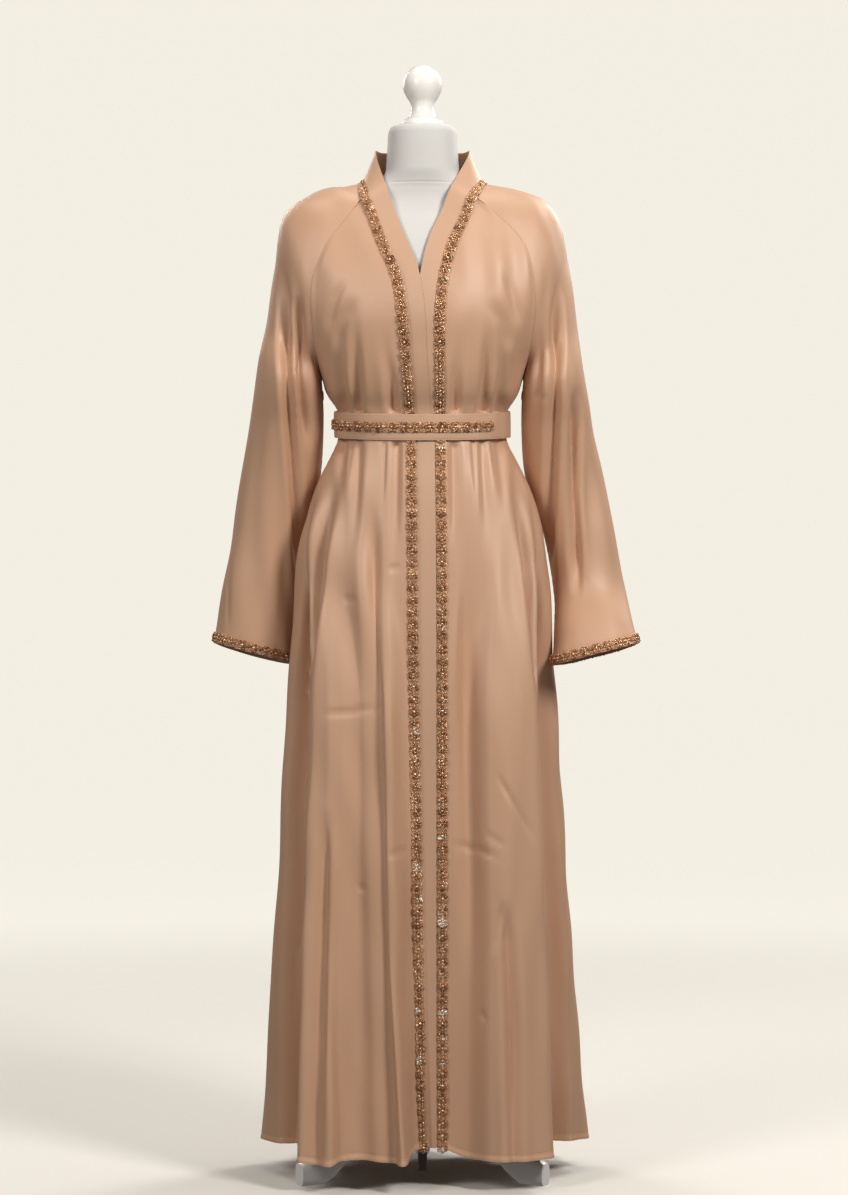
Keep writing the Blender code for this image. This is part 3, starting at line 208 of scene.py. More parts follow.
# Sleeve sections below the shoulder: outer edge and inner edge, half depth, and how far back the section lies
SLEEVE_TOP = [
    dict(outer_z=1.4490, right=0.1370, left=0.1330, back=0.006, reach=70),
    dict(outer_z=1.4335, right=0.1780, left=0.1740, back=0.006, reach=70),
    dict(outer_z=1.4090, right=0.2040, left=0.1975, back=0.006, reach=72),
    dict(outer_z=1.3300, right=0.2172, left=0.2155, back=0.006, reach=84),
    dict(outer_z=1.2450, right=0.2317, left=0.2285, back=0.006, reach=105),
]
SLEEVE_TUBE = [
    dict(outer_z=1.165, inner_z=1.165, depth=0.062,
         right=dict(inner=0.1482, outer=0.2453, back=0.004),
         left=dict(inner=0.1482, outer=0.2400, back=0.004)),
    dict(outer_z=1.095, inner_z=1.100, depth=0.059,
         right=dict(inner=0.1460, outer=0.2572, back=0.022),
         left=dict(inner=0.1460, outer=0.2530, back=0.022)),
    dict(outer_z=1.030, inner_z=1.030, depth=0.055,
         right=dict(inner=0.1510, outer=0.2680, back=0.036),
         left=dict(inner=0.1525, outer=0.2680, back=0.034)),
    dict(outer_z=0.955, inner_z=0.950, depth=0.051,
         right=dict(inner=0.1730, outer=0.2805, back=0.046),
         left=dict(inner=0.1785, outer=0.2830, back=0.036)),
    dict(outer_z=0.870, inner_z=0.858, depth=0.048,
         right=dict(inner=0.1810, outer=0.2947, back=0.050),
         left=dict(inner=0.1930, outer=0.2980, back=0.030)),
    dict(outer_z=0.812, inner_z=0.790, depth=0.046,
         right=dict(inner=0.1865, outer=0.3040, back=0.050),
         left=dict(inner=0.1935, outer=0.3080, back=-0.008)),
    dict(outer_z=0.781, inner_z=0.749, depth=0.044,
         right=dict(inner=0.1890, outer=0.3100, back=0.048),
         left=dict(inner=0.1890, outer=0.3155, back=-0.028)),
]
SLEEVE_COLUMNS = 126
PANEL_COLUMNS = 151
CUFF_BACK_DROP = 0.007
CUFF_TRIM_HEIGHT = 0.016

# Belt
BELT_OFFSET = TRIM_GAP + TRIM_THICK + SEAM_GAP
BELT_COLUMNS = 180
# The belt sits higher at the sides and back than in front
BELT_RISE_RATE = 0.0184
BELT_BACK_RISE = 0.0138
BELT_TRIM_FROM = 47.0
BELT_TRIM_TO = -150.0

# Dress form and stand
FORM_RINGS = [
    dict(z=0.800, half_width=0.128, front=0.088, back=0.092),
    dict(z=0.812, half_width=0.136, front=0.094, back=0.098),
    dict(z=0.900, half_width=0.150, front=0.100, back=0.106),
    dict(z=0.990, half_width=0.137, front=0.090, back=0.096),
    dict(z=1.098, half_width=0.107, front=0.078, back=0.080),
    dict(z=1.165, half_width=0.127, front=0.094, back=0.092),
    dict(z=1.240, half_width=0.150, front=0.113, back=0.102),
    dict(z=1.310, half_width=0.157, front=0.104, back=0.105),
    dict(z=1.360, half_width=0.163, front=0.087, back=0.098),
    dict(z=1.395, half_width=0.170, front=0.068, back=0.082),
    dict(z=1.418, half_width=0.162, front=0.050, back=0.062),
    dict(z=1.434, half_width=0.132, front=0.043, back=0.056),
    dict(z=1.446, half_width=0.096, front=0.043, back=0.056),
    dict(z=1.458, half_width=0.066, front=0.046, back=0.058),
    dict(z=1.475, half_width=0.054, front=0.050, back=0.056),
    dict(z=1.505, half_width=0.052, front=0.050, back=0.054),
    dict(z=1.528, half_width=0.0505, front=0.0490, back=0.0525),
    dict(z=1.536, half_width=0.0480, front=0.0465, back=0.0500),
    dict(z=1.539, half_width=0.0440, front=0.0425, back=0.0460),
]
FORM_COLUMNS = 96
FORM_POWER = 0.92
FINIAL_PROFILE = [
    dict(z=1.5393, radius=0.0300),
    dict(z=1.5430, radius=0.0316),
    dict(z=1.5475, radius=0.0290),
    dict(z=1.5530, radius=0.0215),
    dict(z=1.5640, radius=0.0170),
    dict(z=1.5740, radius=0.0180),
    dict(z=1.5830, radius=0.0235),
    dict(z=1.5930, radius=0.0280),
    dict(z=1.6020, radius=0.0290),
    dict(z=1.6130, radius=0.0262),
    dict(z=1.6225, radius=0.0190),
    dict(z=1.6285, radius=0.0090),
]
FINIAL_TOP_Z = 1.6300
FINIAL_TOP_RADIUS = 0.002
FINIAL_SIDES = 64
POLE_RADIUS = 0.0125
POLE_SIDES = 48
HUB_RADIUS = 0.030
HUB_SIDES = 64
HUB_LOW_Z = 0.150
HUB_HIGH_Z = 0.285
TIP_RADIUS = 0.0068
TIP_SIDES = 32
TIP_LOW_Z = 0.004
LEG_WIDTH = 0.024
LEG_REACH = 0.2050
LEG_ANGLES = dict(leg_right=-60.0, leg_left=60.0, leg_rear=180.0)
# Side profile of a leg, as pairs of upper and lower edge on its way out from the hub
LEG_PROFILE = [
    dict(upper=(0.000, 0.275), lower=(0.000, 0.165)),
    dict(upper=(0.030, 0.250), lower=(0.024, 0.150)),
    dict(upper=(0.062, 0.195), lower=(0.050, 0.105)),
    dict(upper=(0.092, 0.130), lower=(0.078, 0.058)),
    dict(upper=(0.120, 0.078), lower=(0.106, 0.022)),
    dict(upper=(0.146, 0.048), lower=(0.130, 0.003)),
    dict(upper=(0.163, 0.038), lower=(0.142, 0.000)),
    dict(upper=(1.000, 0.031), lower=(1.000, 0.000)),
]

# Gathers at the belt and long folds of the sleeves: their way over the cloth as seen from the front or back.
# Each is a hollow with raised sides, and fades towards its end over the share named tail.
GATHER = dict(width=0.0070, head=0.02, tail=0.85)
LONG_FOLD = dict(width=0.0072, head=0.16, tail=0.25, depth=0.0125)
PANEL_EDGE = dict(width=0.0092, head=0.16, tail=0.01, depth=0.0185)
FOLDS = [
    dict(GATHER, piece="front_right", facing="front", depth=0.0055,
         path=[(-0.1140, 1.0800), (-0.1230, 0.9700)]),
    dict(GATHER, piece="front_right", facing="front", depth=0.0055,
         path=[(-0.0930, 1.0760), (-0.0980, 0.9000)]),
    dict(GATHER, piece="front_right", facing="front", depth=0.0065,
         path=[(-0.0375, 1.0730), (-0.0400, 0.8500)]),
    dict(GATHER, piece="front_left", facing="front", depth=0.0060,
         path=[(0.0455, 1.0730), (0.0460, 0.8800)]),
    dict(GATHER, piece="front_left", facing="front", depth=0.0050,
         path=[(0.0870, 1.0760), (0.0920, 0.9200)]),
    dict(GATHER, piece="front_left", facing="front", depth=0.0055,
         path=[(0.1110, 1.0800), (0.1200, 0.9500)]),
    dict(GATHER, piece="front_right", facing="front", depth=0.0055,
         path=[(-0.1140, 1.1120), (-0.1260, 1.2200)]),
    dict(GATHER, piece="front_right", facing="front", depth=0.0055,
         path=[(-0.0930, 1.1120), (-0.0980, 1.2400)]),
    dict(GATHER, piece="front_right", facing="front", depth=0.0050,
         path=[(-0.0420, 1.1120), (-0.0450, 1.2000)]),
    dict(GATHER, piece="front_left", facing="front", depth=0.0045,
         path=[(0.0470, 1.1120), (0.0480, 1.2100)]),
    dict(GATHER, piece="front_left", facing="front", depth=0.0055,
         path=[(0.0900, 1.1120), (0.0960, 1.2500)]),
    dict(GATHER, piece="front_left", facing="front", depth=0.0055,
         path=[(0.1110, 1.1120), (0.1240, 1.2400)]),
    dict(LONG_FOLD, piece="sleeve_right", facing="front",
         path=[(-0.2060, 1.3500), (-0.1950, 1.1300), (-0.1850, 0.9895), (-0.1810, 0.8200)]),
    dict(LONG_FOLD, piece="sleeve_left", facing="front",
         path=[(0.2000, 1.3400), (0.1930, 1.1500), (0.1873, 0.9895), (0.1800, 0.8000)]),
    dict(LONG_FOLD, piece="sleeve_right", facing="back",
         path=[(-0.2050, 1.2800), (-0.2000, 1.0600), (-0.2080, 0.8400)]),
    dict(LONG_FOLD, piece="sleeve_left", facing="back",
         path=[(0.2050, 1.2800), (0.2020, 1.0600), (0.2120, 0.8400)]),
]
# The back is gathered at these distances from its middle, below and above the belt
BACK_GATHERS = (-0.109, -0.083, -0.056, -0.029, 0.000, 0.029, 0.056, 0.083, 0.109)
BACK_GATHER_DEPTH = 0.0055
BACK_GATHER_LOW = (1.0870, 0.9400)
BACK_GATHER_HIGH = (1.1260, 1.2200)
# Finer creases, which have no raised sides. Hidden sides are creased in the same way.
CREASE = dict(facing="front", head=0.3, tail=0.4, plain=True)
TUCK = dict(facing="front", head=0.02, tail=0.9, plain=True)
CREASES = [
    dict(GATHER, piece="front_right", facing="front", depth=0.0040,
         path=[(-0.1130, 1.1120), (-0.1260, 1.2650)]),
    dict(GATHER, piece="front_right", facing="front", depth=0.0045,
         path=[(-0.0920, 1.1120), (-0.0990, 1.2750)]),
    dict(GATHER, piece="front_right", facing="front", depth=0.0045,
         path=[(-0.0420, 1.1120), (-0.0580, 1.2400)]),
    dict(GATHER, piece="front_left", facing="front", depth=0.0045,
         path=[(0.0470, 1.1120), (0.0560, 1.2450)]),
    dict(GATHER, piece="front_left", facing="front", depth=0.0045,
         path=[(0.0900, 1.1120), (0.0970, 1.2800)]),
    dict(GATHER, piece="front_left", facing="front", depth=0.0040,
         path=[(0.1110, 1.1120), (0.1250, 1.2650)]),
    dict(PANEL_EDGE, piece="front_right", facing="front",
         path=[(-0.1220, 1.0600), (-0.1520, 0.9000), (-0.1760, 0.7000), (-0.1840, 0.4850),
               (-0.1900, 0.1980), (-0.1950, 0.0200)]),
    dict(PANEL_EDGE, piece="front_left", facing="front",
         path=[(0.1280, 1.0600), (0.1560, 0.9000), (0.1780, 0.7000), (0.1960, 0.2690), (0.2020, 0.0200)]),
    dict(dict(PANEL_EDGE, width=0.0105, depth=0.0125), piece="front_right", facing="front",
         path=[(-0.0745, 1.0156), (-0.0640, 0.6000), (-0.0450, 0.0200)]),
    dict(dict(PANEL_EDGE, depth=0.0110), piece="front_right", facing="front",
         path=[(-0.1380, 0.5500), (-0.1480, 0.2500), (-0.1540, 0.0200)]),
    dict(dict(PANEL_EDGE, depth=0.0110), piece="front_left", facing="front",
         path=[(0.1200, 0.4200), (0.1280, 0.2400), (0.1320, 0.0200)]),
    dict(CREASE, piece="front_left", width=0.0034, depth=0.0026,
         path=[(0.0389, 0.4940), (0.0800, 0.4860), (0.1165, 0.4733)]),
    dict(CREASE, piece="front_left", width=0.0028, depth=0.0020,
         path=[(0.0865, 0.5120), (0.1222, 0.4904)]),
    dict(CREASE, piece="front_left", width=0.0036, depth=0.0030,
         path=[(0.1022, 0.6020), (0.1336, 0.5476), (0.1636, 0.4934)]),
    dict(CREASE, piece="front_left", width=0.0044, depth=0.0030,
         path=[(0.1136, 0.4161), (0.1060, 0.3700), (0.1007, 0.3318)]),
    dict(CREASE, piece="front_left", width=0.0030, depth=0.0018,
         path=[(0.0822, 0.2575), (0.0922, 0.2432)]),
    dict(CREASE, piece="front_left", width=0.0100, depth=0.0080,
         path=[(0.0600, 0.9800), (0.0640, 0.6600), (0.0670, 0.4600), (0.0660, 0.2700)]),
    dict(CREASE, piece="front_right", width=0.0030, depth=0.0022,
         path=[(-0.0522, 0.4805), (-0.0179, 0.4862)]),
    dict(CREASE, piece="front_right", width=0.0034, depth=0.0026,
         path=[(-0.1508, 0.6791), (-0.1000, 0.6830), (-0.0550, 0.6905)]),
    dict(CREASE, piece="front_right", width=0.0032, depth=0.0020,
         path=[(-0.0979, 0.4362), (-0.0750, 0.4276)]),
    dict(CREASE, piece="front_right", width=0.0030, depth=0.0018,
         path=[(-0.0507, 0.8892), (-0.0293, 0.8892)]),
    dict(CREASE, piece="front_right", width=0.0034, depth=0.0018,
         path=[(-0.1179, 0.8434), (-0.0893, 0.8434)]),
    dict(TUCK, piece="front_right", width=0.0034, depth=0.0040, path=[(-0.1035, 1.078), (-0.1080, 1.000)]),
    dict(TUCK, piece="front_right", width=0.0040, depth=0.0034, path=[(-0.0540, 1.074), (-0.0590, 0.940)]),
    dict(TUCK, piece="front_left", width=0.0036, depth=0.0036, path=[(0.0735, 1.076), (0.0780, 0.960)]),
    dict(TUCK, piece="front_left", width=0.0034, depth=0.0038, path=[(0.1010, 1.078), (0.1060, 1.010)]),
    dict(TUCK, piece="front_right", width=0.0036, depth=0.0042, path=[(-0.1050, 1.112), (-0.1160, 1.180)]),
    dict(TUCK, piece="front_left", width=0.0036, depth=0.0040, path=[(0.0790, 1.112), (0.0900, 1.195)]),
    dict(TUCK, piece="front_left", width=0.0034, depth=0.0042, path=[(0.1020, 1.112), (0.1130, 1.190)]),
    dict(CREASE, piece="front_right", width=0.0100, depth=0.0040,
         path=[(-0.1300, 1.2000), (-0.1130, 1.2500), (-0.0900, 1.2850)]),
    dict(CREASE, piece="front_right", width=0.0070, depth=0.0030,
         path=[(-0.1420, 1.2250), (-0.1250, 1.2800), (-0.1080, 1.3150)]),
    dict(CREASE, piece="front_left", width=0.0100, depth=0.0040,
         path=[(0.1300, 1.2000), (0.1150, 1.2450), (0.0930, 1.2800)]),
    dict(CREASE, piece="front_left", width=0.0070, depth=0.0030,
         path=[(0.1440, 1.2350), (0.1300, 1.2850), (0.1150, 1.3250)]),
    dict(LONG_FOLD, piece="sleeve_right", facing="front",
         path=[(-0.1830, 1.2900), (-0.1750, 1.1900), (-0.1690, 1.0600)]),
    dict(LONG_FOLD, piece="sleeve_left", facing="front",
         path=[(0.2260, 1.1600), (0.2220, 1.0000), (0.2280, 0.8400)]),
    dict(CREASE, piece="sleeve_right", width=0.0150, depth=0.0040,
         path=[(-0.2340, 1.2100), (-0.2480, 1.0000), (-0.2560, 0.8600)]),
    dict(CREASE, piece="sleeve_right", width=0.0030, depth=0.0016,
         path=[(-0.2844, 0.9200), (-0.2873, 0.7900)]),
    dict(CREASE, piece="sleeve_left", width=0.0055, depth=0.0050,
         path=[(0.1730, 1.2500), (0.1690, 1.1800), (0.1660, 1.1100)]),
    dict(CREASE, piece="sleeve_left", width=0.0150, depth=0.0040,
         path=[(0.2300, 1.2200), (0.2440, 1.0400), (0.2560, 0.8800)]),
    dict(CREASE, piece="sleeve_left", width=0.0030, depth=0.0024, path=[(0.1601, 1.1440), (0.1864, 1.1370)]),
    dict(CREASE, piece="sleeve_right", width=0.0140, depth=0.0040, facing="back",
         path=[(-0.2320, 1.2800), (-0.2460, 1.0600), (-0.2580, 0.8400)]),
    dict(CREASE, piece="sleeve_left", width=0.0140, depth=0.0040, facing="back",
         path=[(0.2320, 1.2800), (0.2460, 1.0600), (0.2580, 0.8400)]),
    dict(CREASE, piece="back", width=0.0120, depth=0.0040, facing="back",
         path=[(-0.1250, 1.2300), (-0.0900, 1.3000), (-0.0700, 1.3500)]),
    dict(CREASE, piece="back", width=0.0120, depth=0.0040, facing="back",
         path=[(0.1250, 1.2200), (0.0950, 1.2900), (0.0760, 1.3400)]),
    dict(CREASE, piece="back", width=0.0036, depth=0.0026, facing="back",
         path=[(-0.1300, 0.6200), (-0.0800, 0.6060), (-0.0400, 0.6120)]),
    dict(CREASE, piece="back", width=0.0032, depth=0.0024, facing="back",
         path=[(0.0500, 0.4400), (0.1000, 0.4250), (0.1300, 0.4300)]),
]
# Puckers beside the seams, and slight waves of the cloth
PUCKER_DEPTH = 0.00045
PUCKER_REACH = 0.013
PUCKER_STEP = 0.0125
WAVES = 7
WAVE_DEPTH = 0.0006

# Fine steps of the cloth
ROW_STEP = 0.0054
HEM_ROWS = (0.0, 0.0012, 0.0046, 0.0058)
HEM_DEPTH = 0.0052
HEM_RAISE = 0.0006
BAND_COLUMNS = 13
SEAM_FADE = 0.010
SLEEVE_SEAM_FADE = 0.03
UNDERARM_ROW = 6
UNDERARM_PLAIN = 0.05
UNDERARM_FADE = 0.10
CUFF_EDGE = 0.002
SEAM_STEP = 0.0005
SEAM_REACH = 0.012
SEAM_BLEND = 0.030

# Beading: round flowers on a woven tape, each of six rings about a bead, with small beads between two flowers
BEAD_PITCH = 0.0178
PETALS = 6
PETAL_REACH = 0.0053
RING_RADIUS = 0.0023
RING_WIRE = 0.00072
BEAD_RADIUS = 0.0013
CENTRE_RADIUS = 0.0021
NOTCH_STEP = 0.0046
TAPE_THICK = 0.0005
TAPE_COLUMNS = 7
SCALLOP = 0.24
RING_LIFT = 0.0011
STITCH_PITCH = 0.0030
STITCH_LENGTH = 0.0019
STITCH_RADIUS = 0.00022

# Camera, from the photo's frame
LENS_MM = 102.4
SENSOR_MM = 36.0
EYE = (-0.0005, -5.007, 0.847)

# Light: a large soft lamp from the front on the wearer's left, a weak one near the front, two behind for the
# back, and one over the part for the floor
WORLD_LIGHT = 0.15
LIGHTS = [
    dict(name="key", place=(1.7, -2.2, 2.75), aim=(0.0, 0.0, 1.30), size=(0.7, 1.0), power=78.0,
         colour=(1.0, 0.97, 0.93)),
    dict(name="fill", place=(-2.0, -2.7, 2.6), aim=(0.0, 0.0, 1.3), size=(1.0, 1.4), power=54.0,
         colour=(1.0, 0.95, 0.90)),
    dict(name="rear_left", place=(1.9, 2.2, 2.7), aim=(0.0, 0.0, 1.2), size=(1.0, 1.3), power=60.0,
         colour=(1.0, 0.97, 0.93)),
    dict(name="rear_right", place=(-1.6, 2.6, 2.5), aim=(0.0, 0.0, 1.1), size=(1.0, 1.3), power=28.0,
         colour=(1.0, 0.96, 0.91)),
    dict(name="floor_lamp", place=(0.0, 0.4, 4.2), aim=(0.0, 0.7, 0.0), size=(2.4, 1.2), power=40.0,
         colour=(1.0, 0.98, 0.94)),
]

# Finer form of the dress form, the legs, the belt and the room
NECK_SEAM_Z = 1.4535
NECK_SEAM_DEPTH = 0.0007
NECK_SEAM_WIDTH = 0.0009
LEG_ROUNDING = 0.55
BELT_SWELL = 0.0004
# Paper: its colour near the part and far off, its even glow, where that starts and is full, and its form
PAPER_NEAR = (0.78, 0.755, 0.705)
PAPER_FAR = (0.10, 0.095, 0.085)
PAPER_GLOW = (0.880, 0.840, 0.750)
GLOW_FROM = 0.9
GLOW_FULL = 4.2
PAPER_REACH = 9.5
COVE = 2.0
PAPER_TOP = 9.0
PAPER_SIDES = 96


def monotone(xs, ys, x):
    """Smooth curve through a table, with no overshoot between its rows."""
    xs = np.asarray(xs, float)
    ys = np.asarray(ys, float)
    x = np.clip(np.asarray(x, float), xs[0], xs[-1])
    step = np.diff(xs)
    slope = np.diff(ys, axis=0) / step.reshape((-1,) + (1,) * (ys.ndim - 1))
    tangent = np.zeros_like(ys)
    tangent[0] = slope[0]
    tangent[-1] = slope[-1]
    same = slope[:-1] * slope[1:] > 0
    total = np.where(same, slope[:-1] + slope[1:], 1.0)
    tangent[1:-1] = np.where(same, 2 * slope[:-1] * slope[1:] / total, 0.0)
    i = np.clip(np.searchsorted(xs, x, side="right") - 1, 0, len(xs) - 2)
    h = step[i]
    t = (x - xs[i]) / h
    shape = t.shape + (1,) * (ys.ndim - 1)
    t = t.reshape(shape)
    h = h.reshape(shape)
    a = (2 * t**3 - 3 * t**2 + 1) * ys[i]
    b = (t**3 - 2 * t**2 + t) * h * tangent[i]
    c = (-2 * t**3 + 3 * t**2) * ys[i + 1]
    d = (t**3 - t**2) * h * tangent[i + 1]
    return a + b + c + d


def column(table, name):
    return [row[name] for row in table]


def ring_sizes(z):
    """Half width, front depth, back depth and squareness of the cloth's oval at a height."""
    heights = column(RINGS, "z")
    names = ("half_width", "front", "back", "square")
    return tuple(monotone(heights, column(RINGS, name), z) for name in names)


def on_ring(z, turn):
    """Point of the cloth's oval, turned in radians from the front towards the wearer's left."""
    half_width, front, back, square = ring_sizes(z)
    s = np.sin(turn)
    c = np.cos(turn)
    power = 2.0 / square
    x = half_width * np.sign(s) * np.abs(s) ** power
    y = -np.sign(c) * np.where(c > 0, front, back) * np.abs(c) ** power
    return np.stack([x + 0 * y, y + 0 * x], axis=-1)


def turn_at(z, x, behind=False):
    """Turn of the oval's point that lies this far from the midline."""
    half_width, _, _, square = ring_sizes(z)
    share = np.clip(np.abs(x) / half_width, 0, 1) ** (square / 2.0)
    turn = np.sign(x) * np.arcsin(share)
    return np.sign(x) * math.pi - turn if behind else turn


def band_seam(side, z):
    return monotone(column(BAND_SEAMS, "z"), column(BAND_SEAMS, side), z)


def raglan(side, z):
    sign = -1 if side == "right" else 1
    return sign * monotone(column(RAGLAN, "z"), column(RAGLAN, side), z)


def fold_lines(side):
    """Each fold line's places at the belt, high hip, hip, mid, shin and hem, and its share of the way."""
    if side == "back":
        start = FRONT_LEFT_FOLDS[-1]
        end = FRONT_RIGHT_FOLDS[-1]
        share = [0.0]
        mid = [start["mid"]]
        shin = [start["shin"]]
        hem = [start["hem"]]
        for flute in BACK_FLUTES:
            angle = math.radians(flute["angle"])
            direction = np.array([math.sin(angle), -math.cos(angle)])
            share.append((flute["angle"] - 90) / 180)
            mid.append(direction * flute["mid"])
            shin.append(direction * (flute["mid"] + flute["hem"]) / 2)
            hem.append(direction * flute["hem"])
        share.append(1.0)
        mid.append(end["mid"])
        shin.append(end["shin"])
        hem.append(end["hem"])
        turns = math.pi / 2 + np.array(share) * math.pi
    else:
        table = FRONT_RIGHT_FOLDS if side == "right" else FRONT_LEFT_FOLDS
        sign = -1 if side == "right" else 1
        share = column(table, "at")
        mid = column(table, "mid")
        shin = column(table, "shin")
        hem = column(table, "hem")
        first = turn_at(BELT_LOW_Z, band_seam(side, BELT_LOW_Z))
        turns = first + np.array(share) * (sign * math.pi / 2 - first)
    mid = np.array(mid, float)
    shin = np.array(shin, float)
    hem = np.array(hem, float)
    belt = on_ring(BELT_LOW_Z, turns)
    high = on_ring(HIGH_HIP_Z, turns)
    hip = on_ring(HIP_Z, turns) + HIP_SHARE * (mid - on_ring(MID_Z, turns))
    levels = np.array([HEM_Z, SHIN_Z, MID_Z, HIP_Z, HIGH_HIP_Z, BELT_LOW_Z])
    places = np.stack([hem, shin, mid, hip, high, belt])
    return np.array(share), turns, levels, places


def hem_lift(side, at):
    """Height of the hem above its lowest level, from fold line to fold line."""
    if side == "back":
        return np.zeros(len(at))
    table = FRONT_RIGHT_FOLDS if side == "right" else FRONT_LEFT_FOLDS
    return monotone(column(table, "at"), np.array(column(table, "hem_z")) - HEM_Z, at)


def skirt_section(side, z, at):
    """Points of a skirt section, with its folds grown from the plain oval of the belt."""
    shares, turns, levels, places = fold_lines(side)
    now = monotone(levels, places, np.array([z]))[0]
    base = on_ring(BELT_LOW_Z, turns)
    turn = np.interp(at, shares, turns)
    xy = on_ring(BELT_LOW_Z, turn) + monotone(shares, now - base, at)
    if side != "back":
        seam_x = band_seam(side, z)
        xy[:, 0] += (seam_x - xy[0, 0]) * np.clip(1 - at / shares[1], 0, 1) ** 2
    fade = np.clip((HEM_LIFT_TOP_Z - z) / (HEM_LIFT_TOP_Z - HEM_Z), 0, 1)
    return np.column_stack([xy, z + hem_lift(side, at) * fade])


def upper_section(side, z, at):
    """Points of a section above the belt, from the band seam to the side or raglan seam."""
    if side == "back":
        if z > UNDERARM_Z:
            first = float(turn_at(z, raglan("left", z), behind=True))
            last = 2 * math.pi + float(turn_at(z, raglan("right", z), behind=True))
        else:
            first = math.pi / 2
            last = 3 * math.pi / 2
    else:
        sign = -1 if side == "right" else 1
        first = float(turn_at(z, band_seam(side, z)))
        last = float(turn_at(z, raglan(side, z))) if z > UNDERARM_Z else sign * math.pi / 2
    turn = first + at * (last - first)
    xy = on_ring(z, turn)
    return np.column_stack([xy, np.full(len(at), z)])


def neck_curve(side, which):
    """Smooth neck seam or band edge on one side: a function of 0 at the front raglan end to 1 at the back."""
    sign = -1 if side == "right" else 1
    z = NECK_STATION_Z
    x = band_seam(side, z)
    if which == "seam":
        first = np.append(on_ring(z, turn_at(z, x)), z)
    else:
        first = band_edge(side, np.array([z]))[0]
    rest = np.array(column(NECK, which), float)
    rest[:, 0] *= sign
    points = np.vstack([first, rest])
    places = np.array([0.0] + column(NECK, "place"))
    return lambda t: smooth_path(places, points, t)


def smooth_path(places, points, at):
    """Rounded path through points, with tangents from their neighbours."""
    tangent = np.gradient(points, places, axis=0)
    tangent[-1] = tangent[-1] * np.array([1.0, 0.0, 0.3])
    at = np.clip(at, places[0], places[-1])
    i = np.clip(np.searchsorted(places, at, side="right") - 1, 0, len(places) - 2)
    h = (places[i + 1] - places[i])[:, None]
    t = ((at - places[i]) / h[:, 0])[:, None]
    a = (2 * t**3 - 3 * t**2 + 1) * points[i]
    b = (t**3 - 2 * t**2 + t) * h * tangent[i]
    c = (-2 * t**3 + 3 * t**2) * points[i + 1]
    d = (t**3 - t**2) * h * tangent[i + 1]
    return a + b + c + d


def front_depth(x, z, row_z):
    """Depth of the cloth's middle at a place between the band seams."""
    if row_z < BELT_LOW_Z:
        return skirt_front_y(x, row_z)
    return on_ring(z, turn_at(z, x))[1]


def band_edge(side, z):
    """Free edge of a band half at each seam height."""
    heights = column(BAND_RISE, "z")
    across = monotone(heights, column(BAND_RISE, "across"), z)
    up = monotone(heights, column(BAND_RISE, "up"), z)
    seam = band_seam(side, z)
    if side == "right":
        lap = monotone(column(BAND_SEAMS, "z"), column(BAND_SEAMS, "lap_edge"), z)
        x = np.where(z < LAP_TOP_Z, lap, seam + across)
    else:
        hidden = np.clip((LAP_TOP_Z - z) / UNDERLAP_FADE, 0, 1)
        under = band_seam("right", z) + LAP_FULL + 2 * LAP_STEP
        x = (seam - across) * (1 - hidden) + under * hidden
    height = z + up
    points = []
    for xi, zi, oi in zip(x, height, z):
        points.append((xi, front_depth(xi, zi, oi), zi))
    return np.array(points)


def skirt_front_y(x, z):
    """Depth of the skirt's middle, which runs level from one band seam to the other."""
    right = skirt_section("right", z, np.array([0.0]))[0]
    left = skirt_section("left", z, np.array([0.0]))[0]
    share = (x - right[0]) / (left[0] - right[0])
    return right[1] + share * (left[1] - right[1])


def build_columns():
    """Shares of the way round at which every panel is sectioned lengthwise."""
    return np.linspace(0, 1, PANEL_COLUMNS)


def panel_grid(side):
    """All sections of a front or the back, from hem to neck."""
    at = build_columns()
    rows = [skirt_section(side, z, at) for z in SKIRT_ROWS]
    rows += [upper_section(side, z, at) for z in WAIST_ROWS + RAGLAN_ROWS]
    grid = np.array(rows)
    if side == "back":
        grid[-1] = back_neck_row(at)
        grid[-2] = grid[-2] * 0.5 + (grid[-3] + grid[-1]) * 0.25
        grid[-2][[0, -1]] = rows[-2][[0, -1]]
    return grid


def back_neck_row(at):
    """Top row of the back, along the neck seam from one raglan end to the other."""
    left = neck_curve("left", "seam")
    right = neck_curve("right", "seam")
    share = np.clip(at, 0, 1)
    reach = 1 - REAR_PLACE
    a = left(REAR_PLACE + reach * np.clip(share * 2, 0, 1))
    b = right(REAR_PLACE + reach * np.clip(2 - share * 2, 0, 1))
    return np.where((share <= 0.5)[:, None], a, b)


